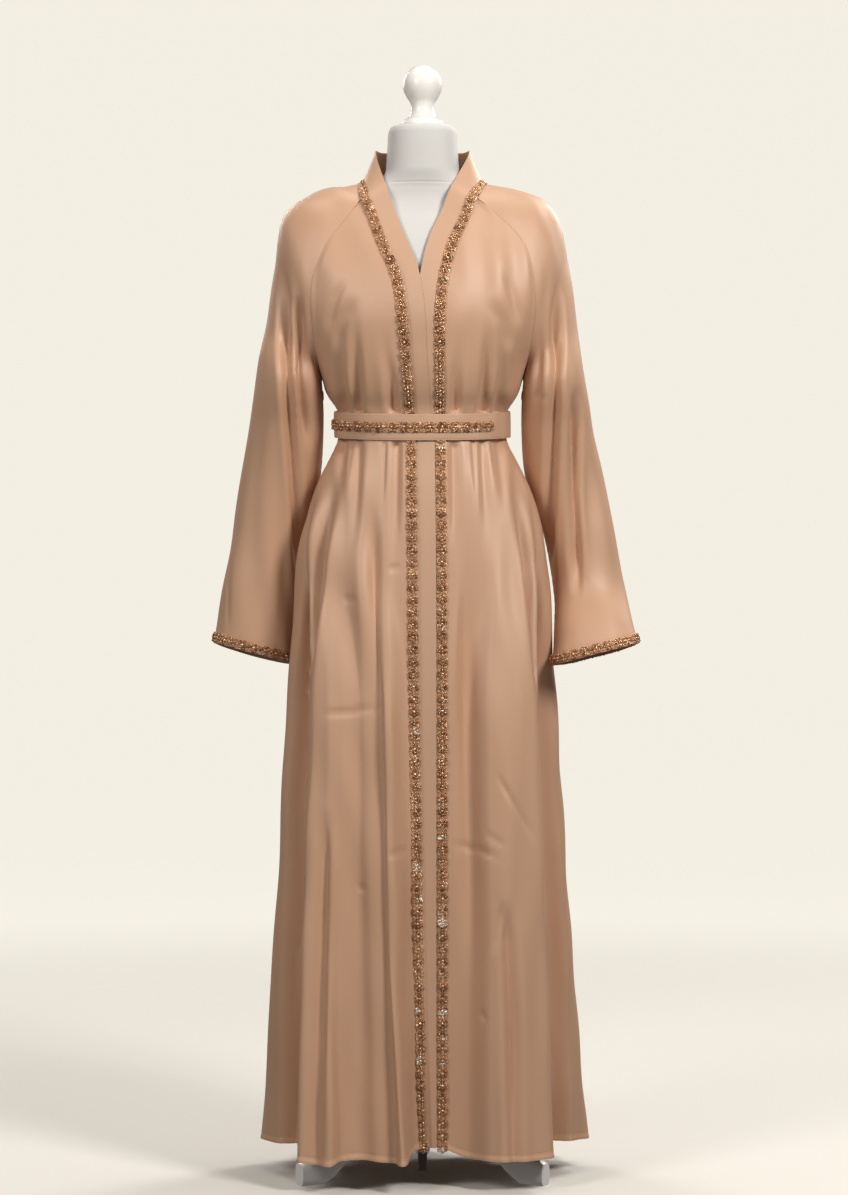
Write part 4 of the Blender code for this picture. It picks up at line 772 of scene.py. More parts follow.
def sleeve_grid(side):
    """Sleeve sections from the neck seam to the cuff. Rows past the underarm close on themselves."""
    sign = -1 if side == "right" else 1
    turns = np.linspace(-1, 1, SLEEVE_COLUMNS + 1)
    neck = neck_curve(side, "seam")
    rows = [neck(REAR_PLACE * (turns + 1) / 2)]
    top = RAGLAN_ROWS[-1]
    rows[0][0] = np.append(on_ring(top, turn_at(top, raglan(side, top))), top)
    for top, z in zip(SLEEVE_TOP, RAGLAN_ROWS[-2:0:-1]):
        front = np.append(on_ring(z, turn_at(z, raglan(side, z))), z)
        back = np.append(on_ring(z, turn_at(z, raglan(side, z), behind=True)), z)
        outer = np.array([sign * top[side], top["back"], top["outer_z"]])
        rows.append(arc_row(front, outer, back, turns, math.radians(top["reach"])))
    for k, tube in enumerate(SLEEVE_TUBE):
        own = tube[side]
        middle_x = (own["inner"] + own["outer"]) / 2
        middle_z = (tube["inner_z"] + tube["outer_z"]) / 2
        centre = np.array([middle_x * sign, own["back"], middle_z])
        out = np.array([(own["outer"] - middle_x) * sign, 0, tube["outer_z"] - middle_z])
        angle = turns * math.pi
        deep = np.array([0, tube["depth"], 0])
        ring = centre + np.cos(angle)[:, None] * out + np.sin(angle)[:, None] * deep
        down = k / (len(SLEEVE_TUBE) - 1)
        ring[:, 2] -= CUFF_BACK_DROP * down**4 * np.clip(np.sin(angle), 0, 1)
        rows.append(ring)
    return np.array(rows)


def arc_row(front, outer, back, turns, reach):
    """Part of an oval from the front seam over the outer edge to the back seam, by reach radians each way."""
    middle = (front + back) / 2
    angle = turns * reach
    across = (outer - middle) / (1 - math.cos(reach))
    half = (back - front) / 2 / math.sin(reach)
    return outer - (1 - np.cos(angle))[:, None] * across + np.sin(angle)[:, None] * half


def pull(grid, edge, rows=slice(None)):
    """Draw one edge of a grid back from its seam by half of the seam's gap."""
    grid = grid.copy()
    gap = SEAM_GAP / 2
    if edge == "first_column":
        step = grid[rows, 1] - grid[rows, 0]
        grid[rows, 0] += step / np.linalg.norm(step, axis=-1, keepdims=True) * gap
    elif edge == "last_column":
        step = grid[rows, -2] - grid[rows, -1]
        grid[rows, -1] += step / np.linalg.norm(step, axis=-1, keepdims=True) * gap
    elif edge == "first_row":
        step = grid[1] - grid[0]
        grid[0] += step / np.linalg.norm(step, axis=-1, keepdims=True) * gap
    else:
        step = grid[-2] - grid[-1]
        grid[-1] += step / np.linalg.norm(step, axis=-1, keepdims=True) * gap
    return grid


def neck_turns(side):
    """Places round one side of the neck at which band, trim, sleeve and back share their points."""
    sleeve = REAR_PLACE * np.linspace(0, 1, SLEEVE_COLUMNS + 1)
    at = build_columns()
    half = at[at <= 0.5] if side == "left" else 1 - at[at >= 0.5][::-1]
    half = np.unique(np.append(half, 0.5))
    back = REAR_PLACE + (1 - REAR_PLACE) * 2 * half
    return sleeve, back[1:]


def band_grid(side):
    """Band half from hem to centre back: seam, turn of the lap and free edge at every station."""
    z = np.array(SKIRT_ROWS + WAIST_ROWS + RAGLAN_ROWS)
    front = panel_grid(side)[:, 0]
    edge = band_edge(side, z)
    hem_rise = front[:, 2] - z
    edge[:, 2] += hem_rise
    sleeve, back = neck_turns(side)
    places = np.concatenate([sleeve[1:], back])
    seam = np.vstack([front, neck_curve(side, "seam")(places)])
    edge = np.vstack([edge, neck_curve(side, "edge")(places)])
    step = edge - seam
    width = np.linalg.norm(step, axis=1, keepdims=True)
    step /= width
    lap = np.zeros_like(width)
    if side == "right":
        lap = np.clip((RAISE_TOP_Z - seam[:, 2:3]) / RAISE_FADE, 0, 1)
    lap[len(z):] = 0
    raised = np.array([0, -1, 0]) * LAP_STEP * lap
    near = seam + step * LAP_FROM
    full = seam + step * LAP_FULL
    middle = (full + edge) / 2
    for station in (near, full, middle):
        for i, row_z in enumerate(z[:-2]):
            station[i, 1] = front_depth(station[i, 0], station[i, 2], row_z)
    return np.stack([seam, near, full + raised, middle + raised, edge + raised], axis=1)


def belt_grid(low, high, turns, offset):
    """Rows round the waist between two heights, lower in front than at the sides."""
    rise = np.minimum(BELT_RISE_RATE * np.sin(turns / 2) ** 2, BELT_BACK_RISE)
    rows = []
    for level in (low, high):
        ring = on_ring(BELT_LOW_Z, turns)
        ring = ring * (1 + offset / np.linalg.norm(ring, axis=1, keepdims=True))
        rows.append(np.column_stack([ring, level + rise]))
    return np.array(rows)


def hermite(knots, rows, tangent, at):
    shape = (-1,) + (1,) * (rows.ndim - 1)
    at = np.clip(at, knots[0], knots[-1])
    i = np.clip(np.searchsorted(knots, at, side="right") - 1, 0, len(knots) - 2)
    h = (knots[i + 1] - knots[i]).reshape(shape)
    t = (at - knots[i]).reshape(shape) / h
    a = (2 * t**3 - 3 * t**2 + 1) * rows[i]
    b = (t**3 - 2 * t**2 + t) * h * tangent[i]
    c = (-2 * t**3 + 3 * t**2) * rows[i + 1]
    d = (t**3 - t**2) * h * tangent[i + 1]
    return a + b + c + d


def spline(knots, rows, at):
    """Rounded path through rows of points at rising knots."""
    knots = np.asarray(knots, float)
    return hermite(knots, rows, np.gradient(rows, knots, axis=0), np.asarray(at, float))


def smooth(t):
    t = np.clip(t, 0, 1)
    return t * t * (3 - 2 * t)


def lengths(grid, axis):
    """Distance along a grid's rows or columns from their first point."""
    step = np.linalg.norm(np.diff(grid, axis=axis), axis=2)
    pad = [(0, 0), (0, 0)]
    pad[axis] = (1, 0)
    return np.pad(np.cumsum(step, axis=axis), pad)


def grid_normals(grid):
    """Surface directions of a grid, out to the side that a turn from rows to columns gives."""
    normal = np.cross(np.gradient(grid, axis=1), np.gradient(grid, axis=0))
    size = np.linalg.norm(normal, axis=2, keepdims=True)
    return normal / np.maximum(size, 1e-9)


def fold_depth(x, z, fold):
    """How far one fold draws the cloth in along its way: a hollow with raised sides, faded to its ends."""
    path = np.array(fold["path"], float)
    ends = np.concatenate([[0.0], np.cumsum(np.linalg.norm(np.diff(path, axis=0), axis=1))])
    nearest = np.full(x.shape, np.inf)
    place = np.zeros(x.shape)
    for a, b, start, stop in zip(path[:-1], path[1:], ends[:-1], ends[1:]):
        way = (b - a) / (stop - start)
        run = np.clip((x - a[0]) * way[0] + (z - a[1]) * way[1], 0, stop - start)
        off = np.hypot(x - a[0] - run * way[0], z - a[1] - run * way[1])
        closer = off < nearest
        nearest = np.where(closer, off, nearest)
        place = np.where(closer, (start + run) / ends[-1], place)
    u = nearest / fold["width"]
    profile = np.exp(-u * u) if fold.get("plain") else (1 - 0.55 * u * u) * np.exp(-0.5 * u * u)
    return fold["depth"] * profile * smooth(place / fold["head"]) * smooth((1 - place) / fold["tail"])


def folds_of(piece):
    rows = [fold for fold in FOLDS + CREASES if fold["piece"] == piece]
    if piece == "back":
        for i, x in enumerate(BACK_GATHERS):
            for start, end in (BACK_GATHER_LOW, BACK_GATHER_HIGH):
                path = [(x, start), (x * 1.05, end + (start - end) * 0.3 * math.sin(2.1 * i) ** 2)]
                rows.append(dict(GATHER, facing="back", path=path, depth=BACK_GATHER_DEPTH))
    return rows


def waves(x, z, seed, size=WAVE_DEPTH):
    """Slight waves that run mostly down the cloth."""
    rng = np.random.RandomState(seed)
    total = np.zeros(x.shape)
    for _ in range(WAVES):
        across = rng.uniform(35, 150) * rng.choice([-1, 1])
        down = rng.uniform(4, 34) * rng.choice([-1, 1])
        total += np.sin(across * x + down * z + rng.uniform(0, 2 * math.pi)) * rng.uniform(0.5, 1.0)
    return total * size


def puckers(across, down, seed):
    """Small uneven waves along both side seams of a piece."""
    width = across[:, -1:]
    total = np.zeros(across.shape)
    for k, reach in enumerate((across, width - across)):
        turn = 2 * math.pi * down / PUCKER_STEP
        wander = 2.2 * np.sin(down * 31.0 + seed + k) + 1.7 * np.sin(down * 73.0 + 2 * seed)
        strength = 0.55 + 0.45 * np.sin(down * 17.0 + 3 * seed + k)
        total += np.sin(turn + wander) * strength * np.exp(-(reach / PUCKER_REACH) ** 2)
    return total * PUCKER_DEPTH


def add_folds(piece, grid, outward, fade):
    """Move a piece's points in or out by its folds, creases, puckers and slight waves."""
    normal = grid_normals(grid) * outward
    x = grid[..., 0]
    z = grid[..., 2]
    total = waves(x + grid[..., 1] * 0.7, z, seed=len(piece))
    total += puckers(lengths(grid, 1), lengths(grid, 0), seed=len(piece))
    for fold in folds_of(piece):
        towards = -1 if fold["facing"] == "front" else 1
        total += fold_depth(x, z, fold) * smooth(0.25 + towards * normal[..., 1] * 1.3)
    return grid - normal * (total * fade)[..., None]


def row_heights():
    top = RAGLAN_ROWS[-1]
    start = HEM_Z + HEM_ROWS[-1] + ROW_STEP
    plain = np.linspace(start, top, int((top - start) / ROW_STEP))
    return np.concatenate([HEM_Z + np.array(HEM_ROWS), plain])


def panel_heights():
    return np.array(SKIRT_ROWS + WAIST_ROWS + RAGLAN_ROWS)


def fine_panel(side):
    """Front or back in fine rows, with its creases and its turned hem."""
    grid = spline(panel_heights(), panel_grid(side), row_heights())
    across = lengths(grid, 1)
    down = lengths(grid, 0)
    fade = smooth(across / SEAM_FADE) * smooth((across[:, -1:] - across) / SEAM_FADE)
    fade *= smooth((down[-1:] - down) / SEAM_FADE)
    name = "back" if side == "back" else "front_" + side
    outward = -1 if side == "right" else 1
    grid = add_folds(name, grid, outward, fade)
    hem = np.where(down < HEM_DEPTH, HEM_RAISE, 0.0)
    return grid + grid_normals(grid) * (outward * hem)[..., None]


def fine_sleeve(side):
    """Sleeve in fine rows, with its creases."""
    rough = sleeve_grid(side)
    places = np.concatenate([[0.0], np.cumsum(np.linalg.norm(np.diff(rough, axis=0), axis=2).mean(axis=1))])
    count = int(places[-1] / ROW_STEP)
    at = np.linspace(0, places[-1], count)
    grid = spline(places, rough, at)
    underarm = places[UNDERARM_ROW]
    closed_from = int(np.searchsorted(at, underarm))
    grid[closed_from:, -1] = grid[closed_from:, 0]
    across = lengths(grid, 1)
    fade = smooth(across / SLEEVE_SEAM_FADE) * smooth((across[:, -1:] - across) / SLEEVE_SEAM_FADE)
    below = smooth((at[closed_from:, None] - underarm - UNDERARM_PLAIN) / UNDERARM_FADE)
    fade[closed_from:] = np.maximum(fade[closed_from:], below)
    fade *= smooth(at[:, None] / SEAM_FADE)
    outward = 1 if side == "right" else -1
    grid = add_folds("sleeve_" + side, grid, outward, fade)
    hem = np.where(at > places[-1] - CUFF_EDGE, HEM_RAISE, 0.0)[:, None] * np.ones(grid.shape[1])
    grid = grid + grid_normals(grid) * (outward * hem)[..., None]
    return grid, closed_from


def fine_band(side):
    """Neck band half in fine stations, from the hem round to the centre back."""
    rough = band_grid(side)
    heights = panel_heights()
    neck = rough[len(heights) - 1:, 0]
    run = np.cumsum(np.linalg.norm(np.diff(neck, axis=0), axis=1))
    knots = np.concatenate([heights, heights[-1] + run])
    at = np.concatenate([row_heights(), knots[len(heights):]])
    rows = spline(knots, rough, at)
    stations = np.linspace(0, 1, rough.shape[1])
    fine = np.linspace(0, 1, BAND_COLUMNS)
    grid = np.stack([spline(stations, row, fine) for row in rows])
    return grid


class Cloth:
    """A grid of cloth points with its faces and its directions out."""

    def __init__(self, grid, outward, closed_from=None):
        rows, cols, _ = grid.shape
        index = np.arange(rows * cols).reshape(rows, cols)
        if closed_from is not None:
            index[closed_from:, -1] = index[closed_from:, 0]
        used = np.unique(index)
        index = np.searchsorted(used, index)
        self.points = grid.reshape(-1, 3)[used]
        quads = np.stack([index[:-1, :-1], index[:-1, 1:], index[1:, 1:], index[1:, :-1]], axis=-1)
        quads = quads.reshape(-1, 4)
        self.quads = quads if outward > 0 else quads[:, ::-1]
        self.across = lengths(grid, 1)
        self.down = lengths(grid, 0)
        means = self.across.mean(axis=0)[None], self.down.mean(axis=1)[:, None]
        places = np.stack(np.broadcast_arrays(*means), axis=-1)
        self.uv = places.reshape(-1, 2)[used]
        self.normals = self.find_normals()

    def find_normals(self):
        p = self.points[self.quads]
        face = np.cross(p[:, 2] - p[:, 0], p[:, 3] - p[:, 1])
        total = np.zeros_like(self.points)
        for corner in range(4):
            np.add.at(total, self.quads[:, corner], face)
        return total / np.maximum(np.linalg.norm(total, axis=1, keepdims=True), 1e-12)

    def border(self):
        count = len(self.points)
        a = self.quads.ravel()
        b = np.roll(self.quads, -1, axis=1).ravel()
        alone = ~np.isin(a * count + b, b * count + a)
        return np.stack([a[alone], b[alone]], axis=1)

    def area(self):
        p = self.points[self.quads]
        return float(np.linalg.norm(np.cross(p[:, 2] - p[:, 0], p[:, 3] - p[:, 1]), axis=1).sum() / 2)

    def flat(self):
        """Width and length of the flat cut."""
        return float(self.across[:, -1].max()), float(self.down[-1].max())

    def tree(self):
        return BVHTree.FromPolygons(self.points.tolist(), self.quads.tolist())


def share_normals(cloths):
    """Give neighbouring edges one direction at their seam, so that the light runs on over it."""
    reach = 0.004
    borders = []
    for cloth in cloths:
        ids = np.unique(cloth.border())
        borders.append((cloth, ids, cloth.points[ids], cloth.normals[ids].copy()))
    for cloth, ids, points, own in borders:
        total = own.copy()
        for other, _, their_points, their_normals in borders:
            if other is cloth:
                continue
            gap = np.linalg.norm(points[:, None] - their_points[None], axis=-1)
            nearest = gap.argmin(axis=1)
            close = gap[np.arange(len(ids)), nearest] < reach
            close &= (own * their_normals[nearest]).sum(axis=1) > 0.3
            total[close] += their_normals[nearest[close]]
        cloth.normals[ids] = total / np.linalg.norm(total, axis=1, keepdims=True)


def new_piece(name, points, faces, finish, uv=None):
    """New shaded object that rides on the one body and takes the given finish."""
    placed = np.asarray(points) + np.array([MIDLINE_X, MIDLINE_Y, 0.0])
    mesh = bpy.data.meshes.new(name)
    mesh.from_pydata(placed.tolist(), [], [tuple(face) for face in faces])
    mesh.materials.append(finish)
    if uv is not None:
        layer = mesh.uv_layers.new(name="cloth")
        corner = np.zeros(len(mesh.loops), np.int32)
        mesh.loops.foreach_get("vertex_index", corner)
        layer.data.foreach_set("uv", np.asarray(uv, np.float32)[corner].ravel())
    mesh.shade_smooth()
    mesh.set_sharp_from_angle(angle=math.radians(50))
    piece = bpy.data.objects.new(name, mesh)
    bpy.context.collection.objects.link(piece)
    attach(piece, "root")
    return piece


def new_cloth(name, node, cloth, finish, thick=WALL, outset=0.0):
    """Thin wall of cloth in place of its solid."""
    count = len(cloth.points)
    outer = cloth.points + cloth.normals * outset
    points = np.vstack([outer, cloth.points + cloth.normals * (outset - thick)])
    border = cloth.border()
    rim = np.stack([border[:, 1], border[:, 0], border[:, 0] + count, border[:, 1] + count], axis=1)
    faces = np.vstack([cloth.quads, cloth.quads[:, ::-1] + count, rim])
    piece = new_piece(name, points, faces.tolist(), finish, uv=np.vstack([cloth.uv, cloth.uv]))
    if node:
        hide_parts(node)
    cloth.flat()
    cloth.area()
    return piece


class Graph:
    """Node tree that adds a node from its type, its settings and the values or links of its sockets."""

    def __init__(self, tree):
        self.tree = tree

    def add(self, kind, settings=None, out=0, **sockets):
        node = self.tree.nodes.new(kind)
        for name, value in (settings or {}).items():
            if name == "stops":
                self.set_stops(node.color_ramp, value)
            else:
                setattr(node, name, value)
        for name, value in sockets.items():
            self.feed(self.socket(node, name), value)
        return Value(self, node, node.outputs[out])

    def socket(self, node, name):
        if name.startswith("at_"):
            return node.inputs[int(name[3:])]
        wanted = name.replace("_", " ").lower()
        return next(s for s in node.inputs if s.name.lower() == wanted and s.enabled)

    def feed(self, socket, value):
        if isinstance(value, (list, tuple)) and value and isinstance(value[0], Value):
            for one in value:
                self.tree.links.new(one.socket, socket)
        elif isinstance(value, Value):
            self.tree.links.new(value.socket, socket)
        else:
            socket.default_value = value

    def set_stops(self, ramp, stops):
        for i, (place, colour) in enumerate(stops):
            stop = ramp.elements[i] if i < 2 else ramp.elements.new(place)
            stop.position = place
            stop.color = (*colour, 1.0)


class Value:
    """Output socket that can be used in Python sums."""

    def __init__(self, graph, node, socket):
        self.graph = graph
        self.node = node
        self.socket = socket

    def output(self, name):
        return Value(self.graph, self.node, self.node.outputs[name])

    def maths(self, operation, a, b=0.0):
        return self.graph.add("ShaderNodeMath", dict(operation=operation), at_0=a, at_1=b)

    def __add__(self, other):
        return self.maths("ADD", self, other)

    def __radd__(self, other):
        return self.maths("ADD", other, self)

    def __sub__(self, other):
        return self.maths("SUBTRACT", self, other)

    def __rsub__(self, other):
        return self.maths("SUBTRACT", other, self)

    def __mul__(self, other):
        return self.maths("MULTIPLY", self, other)

    def __rmul__(self, other):
        return self.maths("MULTIPLY", other, self)


def finish_graph(name):
    """New material with its graph and its Principled shader."""
    made = bpy.data.materials.new(name)
    made.use_nodes = True
    shader = made.node_tree.nodes["Principled BSDF"]
    return made, Graph(made.node_tree), shader


def mixed(graph, share, low, high):
    return graph.add("ShaderNodeMix", dict(data_type="RGBA"), out=2, at_0=share,
                     at_6=(*low, 1.0), at_7=(*high, 1.0))


def set_shader(graph, shader, **sockets):
    for name, value in sockets.items():
        graph.feed(graph.socket(shader, name), value)


def satin(name, light, dark, wrinkle):
    """Satin: a smooth fine twill with a soft sheen and slight dents."""
    made, graph, shader = finish_graph(name)
    place = graph.add("ShaderNodeTexCoord", out=3)
    threads = graph.add("ShaderNodeUVMap", dict(uv_map="cloth"))
    cloudy = graph.add("ShaderNodeTexNoise", Vector=place, Scale=3.2, Detail=3.0)
    uneven = graph.add("ShaderNodeTexNoise", Vector=place, Scale=16.0, Detail=2.0)
    set_shader(graph, shader, Base_Color=mixed(graph, cloudy, dark, light))
    set_shader(graph, shader, Roughness=0.44 + uneven * 0.10)
    twill = graph.add("ShaderNodeTexWave", dict(bands_direction="DIAGONAL"), out=1,
                      Vector=threads, Scale=700.0)
    stretched = graph.add("ShaderNodeMapping", Vector=place, Scale=(1.0, 1.0, 0.35))
    dents = graph.add("ShaderNodeTexNoise", Vector=stretched, Scale=44.0, Detail=2.0, Roughness=0.45)
    weave = graph.add("ShaderNodeBump", Strength=0.10, Distance=0.0001, Height=twill)
    bump = graph.add("ShaderNodeBump", Strength=wrinkle, Distance=0.0007, Height=dents, Normal=weave)
    set_shader(graph, shader, Normal=bump)
    shader.inputs["Sheen Weight"].default_value = 0.16
    shader.inputs["Sheen Roughness"].default_value = 0.35
    shader.inputs["Sheen Tint"].default_value = (1.0, 0.85, 0.72, 1.0)
    shader.inputs["Specular IOR Level"].default_value = 0.70
    shader.inputs["Specular Tint"].default_value = (1.0, 0.96, 0.92, 1.0)
    shader.inputs["Anisotropic"].default_value = 0.35
    return made


def copper_beading():
    """Golden copper rings and beads, toned at random; darker rings are painted shade, brighter centres
    painted highlight, and near-white patches painted glints.
    """
    made, graph, shader = finish_graph("rose_copper_beading")
    tone = graph.add("ShaderNodeAttribute", dict(attribute_name="tone"), out=2)
    # Ramp from dark to near-white copper: its dark end serves as painted shade on the rings, its near-white
    # end as painted highlight.
    stops = [(0.0, (0.22, 0.09, 0.04)), (0.35, (0.50, 0.26, 0.13)), (0.75, (0.80, 0.51, 0.31)),
             (1.0, (1.0, 0.80, 0.60))]
    colour = graph.add("ShaderNodeValToRGB", dict(stops=stops), Fac=tone)
    place = graph.add("ShaderNodeTexCoord", out=3)
    # Patches of noise where the colour is painted near-white: painted glints on the beading.
    glint_noise = graph.add("ShaderNodeTexNoise", Vector=place, Scale=38.0, Detail=0.0)
    painted_glint_mask = glint_noise.maths("GREATER_THAN", glint_noise, 0.76)
    painted_glint_colour = graph.add("ShaderNodeMix", dict(data_type="RGBA"), out=2, at_0=painted_glint_mask, at_6=colour,
                      at_7=(1.0, 0.88, 0.74, 1.0))
    worn = graph.add("ShaderNodeTexNoise", Vector=place, Scale=400.0, Detail=1.0)
    set_shader(graph, shader, Base_Color=painted_glint_colour, Roughness=0.20 + worn * 0.16)
    set_shader(graph, shader, Normal=graph.add("ShaderNodeBump", Strength=0.2, Distance=0.0001, Height=worn))
    shader.inputs["Metallic"].default_value = 0.75
    return made


def woven_tape():
    """Tape under the beads, closely covered with small stitches."""
    made, graph, shader = finish_graph("beading_tape")
    threads = graph.add("ShaderNodeUVMap", dict(uv_map="cloth"))
    cells = graph.add("ShaderNodeTexVoronoi", Vector=threads, Scale=520.0)
    set_shader(graph, shader, Base_Color=mixed(graph, cells * 1.6, (0.27, 0.12, 0.06), (0.62, 0.36, 0.20)))
    set_shader(graph, shader, Roughness=0.40 + cells * 0.2)
    set_shader(graph, shader, Normal=graph.add("ShaderNodeBump", Strength=0.7, Distance=0.0004, Height=cells))
    shader.inputs["Metallic"].default_value = 0.3
    return made


def thread():
    made, graph, shader = finish_graph("sewing_thread")
    place = graph.add("ShaderNodeTexCoord", out=3)
    twist = graph.add("ShaderNodeTexNoise", Vector=place, Scale=900.0, Detail=1.0)
    set_shader(graph, shader, Base_Color=mixed(graph, twist, (0.48, 0.28, 0.16), (0.66, 0.42, 0.27)))
    shader.inputs["Roughness"].default_value = 0.55
    return made


def jersey():
    """White knit cover of the form, with its seam round the neck."""
    made, graph, shader = finish_graph("white_jersey")
    place = graph.add("ShaderNodeTexCoord", out=3)
    cloudy = graph.add("ShaderNodeTexNoise", Vector=place, Scale=6.0, Detail=3.0)
    loops = graph.add("ShaderNodeMapping", Vector=place, Scale=(1.0, 1.0, 0.6))
    knit = graph.add("ShaderNodeTexVoronoi", Vector=loops, Scale=620.0)
    set_shader(graph, shader, Base_Color=mixed(graph, cloudy, (0.60, 0.59, 0.57), (0.67, 0.66, 0.64)))
    set_shader(graph, shader, Roughness=0.66 + knit * 0.15)
    set_shader(graph, shader, Normal=graph.add("ShaderNodeBump", Strength=0.25, Distance=0.0003, Height=knit))
    shader.inputs["Sheen Weight"].default_value = 0.15
    return made


def lacquer(name, low, high, rough, coat):
    made, graph, shader = finish_graph(name)
    place = graph.add("ShaderNodeTexCoord", out=3)
    cloudy = graph.add("ShaderNodeTexNoise", Vector=place, Scale=9.0, Detail=4.0)
    orange_peel = graph.add("ShaderNodeTexNoise", Vector=place, Scale=180.0, Detail=2.0)
    set_shader(graph, shader, Base_Color=mixed(graph, cloudy, low, high), Roughness=rough + cloudy * 0.12)
    bump = graph.add("ShaderNodeBump", Strength=0.08, Distance=0.0003, Height=orange_peel)
    set_shader(graph, shader, Normal=bump)
    shader.inputs["Coat Weight"].default_value = coat
    return made


def group(name, sizes):
    """Geometry tree with named sizes. Returns the tree, its graph and its inputs by name."""
    tree = bpy.data.node_groups.new(name, "GeometryNodeTree")
    tree.interface.new_socket("Geometry", in_out="INPUT", socket_type="NodeSocketGeometry")
    for size in sizes:
        kind = "NodeSocketMaterial" if size == "Finish" else "NodeSocketFloat"
        tree.interface.new_socket(size, in_out="INPUT", socket_type=kind)
    tree.interface.new_socket("Geometry", in_out="OUTPUT", socket_type="NodeSocketGeometry")
    graph = Graph(tree)
    inputs = graph.add("NodeGroupInput")
    return tree, graph, inputs


def finish_tree(graph, geometry, inputs):
    whole = graph.add("GeometryNodeRealizeInstances", Geometry=geometry)
    smooth_faces = graph.add("GeometryNodeSetShadeSmooth", Geometry=whole)
    painted = graph.add("GeometryNodeSetMaterial", Geometry=smooth_faces, Material=inputs.output("Finish"))
    result = graph.tree.nodes.new("NodeGroupOutput")
    graph.tree.links.new(painted.socket, result.inputs[0])


def vector_attribute(graph, name):
    node = graph.add("GeometryNodeInputNamedAttribute", dict(data_type="FLOAT_VECTOR"))
    graph.feed(node.node.inputs["Name"], name)
    return node


def frame_turn(graph):
    """Turn that stands Z on the cloth and lays X along the path."""
    axes = dict(primary_axis="Z", secondary_axis="X")
    return graph.add("FunctionNodeAxesToRotation", axes, at_0=vector_attribute(graph, "away"),
                     at_1=vector_attribute(graph, "ahead"))


def paced_points(graph, inputs):
    line = graph.add("GeometryNodeMeshToCurve", Mesh=inputs.output("Geometry"))
    paced = graph.add("GeometryNodeResampleCurve", dict(mode="LENGTH"), Curve=line,
                      Length=inputs.output("Pitch"))
    return graph.add("GeometryNodeCurveToPoints", dict(mode="EVALUATED"), Curve=paced)


def beading_tree():
    """Flowers of rings along a path, with a bead in each ring and small beads between two flowers."""
    sizes = ("Pitch", "Petal Reach", "Ring Radius", "Ring Wire", "Bead Radius", "Centre Radius", "Notch Step",
             "Lift", "Finish")
    tree, graph, inputs = group("beading", sizes)
    points = paced_points(graph, inputs)
    lift = inputs.output("Lift")
    notch = inputs.output("Notch Step")

    def raised(geometry):
        up = graph.add("ShaderNodeCombineXYZ", X=0.0, Y=0.0, Z=lift)
        return graph.add("GeometryNodeTransform", Geometry=geometry, Translation=up)

    petals = raised(graph.add("GeometryNodeMeshCircle", Vertices=PETALS, Radius=inputs.output("Petal Reach")))
    middle = raised(graph.add("GeometryNodeMeshLine", Count=1))
    start = graph.add("ShaderNodeCombineXYZ", X=inputs.output("Pitch") * 0.5, Y=notch * -1.0, Z=lift)
    step = graph.add("ShaderNodeCombineXYZ", X=0.0, Y=notch, Z=0.0)
    notches = graph.add("GeometryNodeMeshLine", dict(mode="OFFSET"), Count=3, Start_Location=start,
                        Offset=step)
    small_places = graph.add("GeometryNodeJoinGeometry", Geometry=[petals, notches])

    circle = graph.add("GeometryNodeCurvePrimitiveCircle", Resolution=10, Radius=inputs.output("Ring Radius"))
    wire = graph.add("GeometryNodeCurvePrimitiveCircle", Resolution=4, Radius=inputs.output("Ring Wire"))
    ring = graph.add("GeometryNodeCurveToMesh", Curve=circle, Profile_Curve=wire)
    bead = graph.add("GeometryNodeMeshIcoSphere", Radius=inputs.output("Bead Radius"), Subdivisions=1)
    centre = graph.add("GeometryNodeMeshIcoSphere", Radius=inputs.output("Centre Radius"), Subdivisions=2)

    def scatter(unit, places, seed, low, high, tilt):
        laid = graph.add("GeometryNodeInstanceOnPoints", Points=points, Instance=places,
                         Rotation=frame_turn(graph))
        spots = graph.add("GeometryNodeRealizeInstances", Geometry=laid)
        lean = graph.add("FunctionNodeRandomValue", dict(data_type="FLOAT_VECTOR"), at_0=(-tilt, -tilt, 0.0),
                         at_1=(tilt, tilt, 0.0), Seed=seed)
        lean = graph.add("FunctionNodeEulerToRotation", Euler=lean)
        turn = graph.add("FunctionNodeRotateRotation", dict(rotation_space="LOCAL"),
                         Rotation=frame_turn(graph), Rotate_By=lean)
        size = graph.add("FunctionNodeRandomValue", dict(data_type="FLOAT"), out=1, at_2=0.90, at_3=1.10,
                         Seed=seed + 1)
        many = graph.add("GeometryNodeInstanceOnPoints", Points=spots, Instance=unit, Rotation=turn,
                         Scale=size)
        tone = graph.add("FunctionNodeRandomValue", dict(data_type="FLOAT"), out=1, at_2=low, at_3=high,
                         Seed=seed + 2)
        return graph.add("GeometryNodeStoreNamedAttribute", dict(data_type="FLOAT", domain="INSTANCE"),
                         Geometry=many, Name="tone", Value=tone)

    # Rings take the darker tones as painted shade and centres the brighter ones as painted highlight; within
    # each range the tone is random.
    rings = scatter(ring, petals, 3, 0.10, 0.80, 0.30)
    beads = scatter(bead, small_places, 11, 0.25, 0.95, 0.0)
    centres = scatter(centre, middle, 23, 0.50, 1.00, 0.0)
    finish_tree(graph, graph.add("GeometryNodeJoinGeometry", Geometry=[rings, beads, centres]), inputs)
    return tree


def stitch_tree():
    """Short stitches along a path, each a thin rod that lies on the cloth."""
    tree, graph, inputs = group("stitches", ("Pitch", "Length", "Radius", "Finish"))
    points = paced_points(graph, inputs)
    rod = graph.add("GeometryNodeMeshCylinder", dict(fill_type="NGON"), Vertices=6,
                    Radius=inputs.output("Radius"), Depth=inputs.output("Length"))
    lying = graph.add("GeometryNodeTransform", Geometry=rod, Rotation=(0.0, math.pi / 2, 0.0))
    many = graph.add("GeometryNodeInstanceOnPoints", Points=points, Instance=lying,
                     Rotation=frame_turn(graph))
    finish_tree(graph, many, inputs)
    return tree


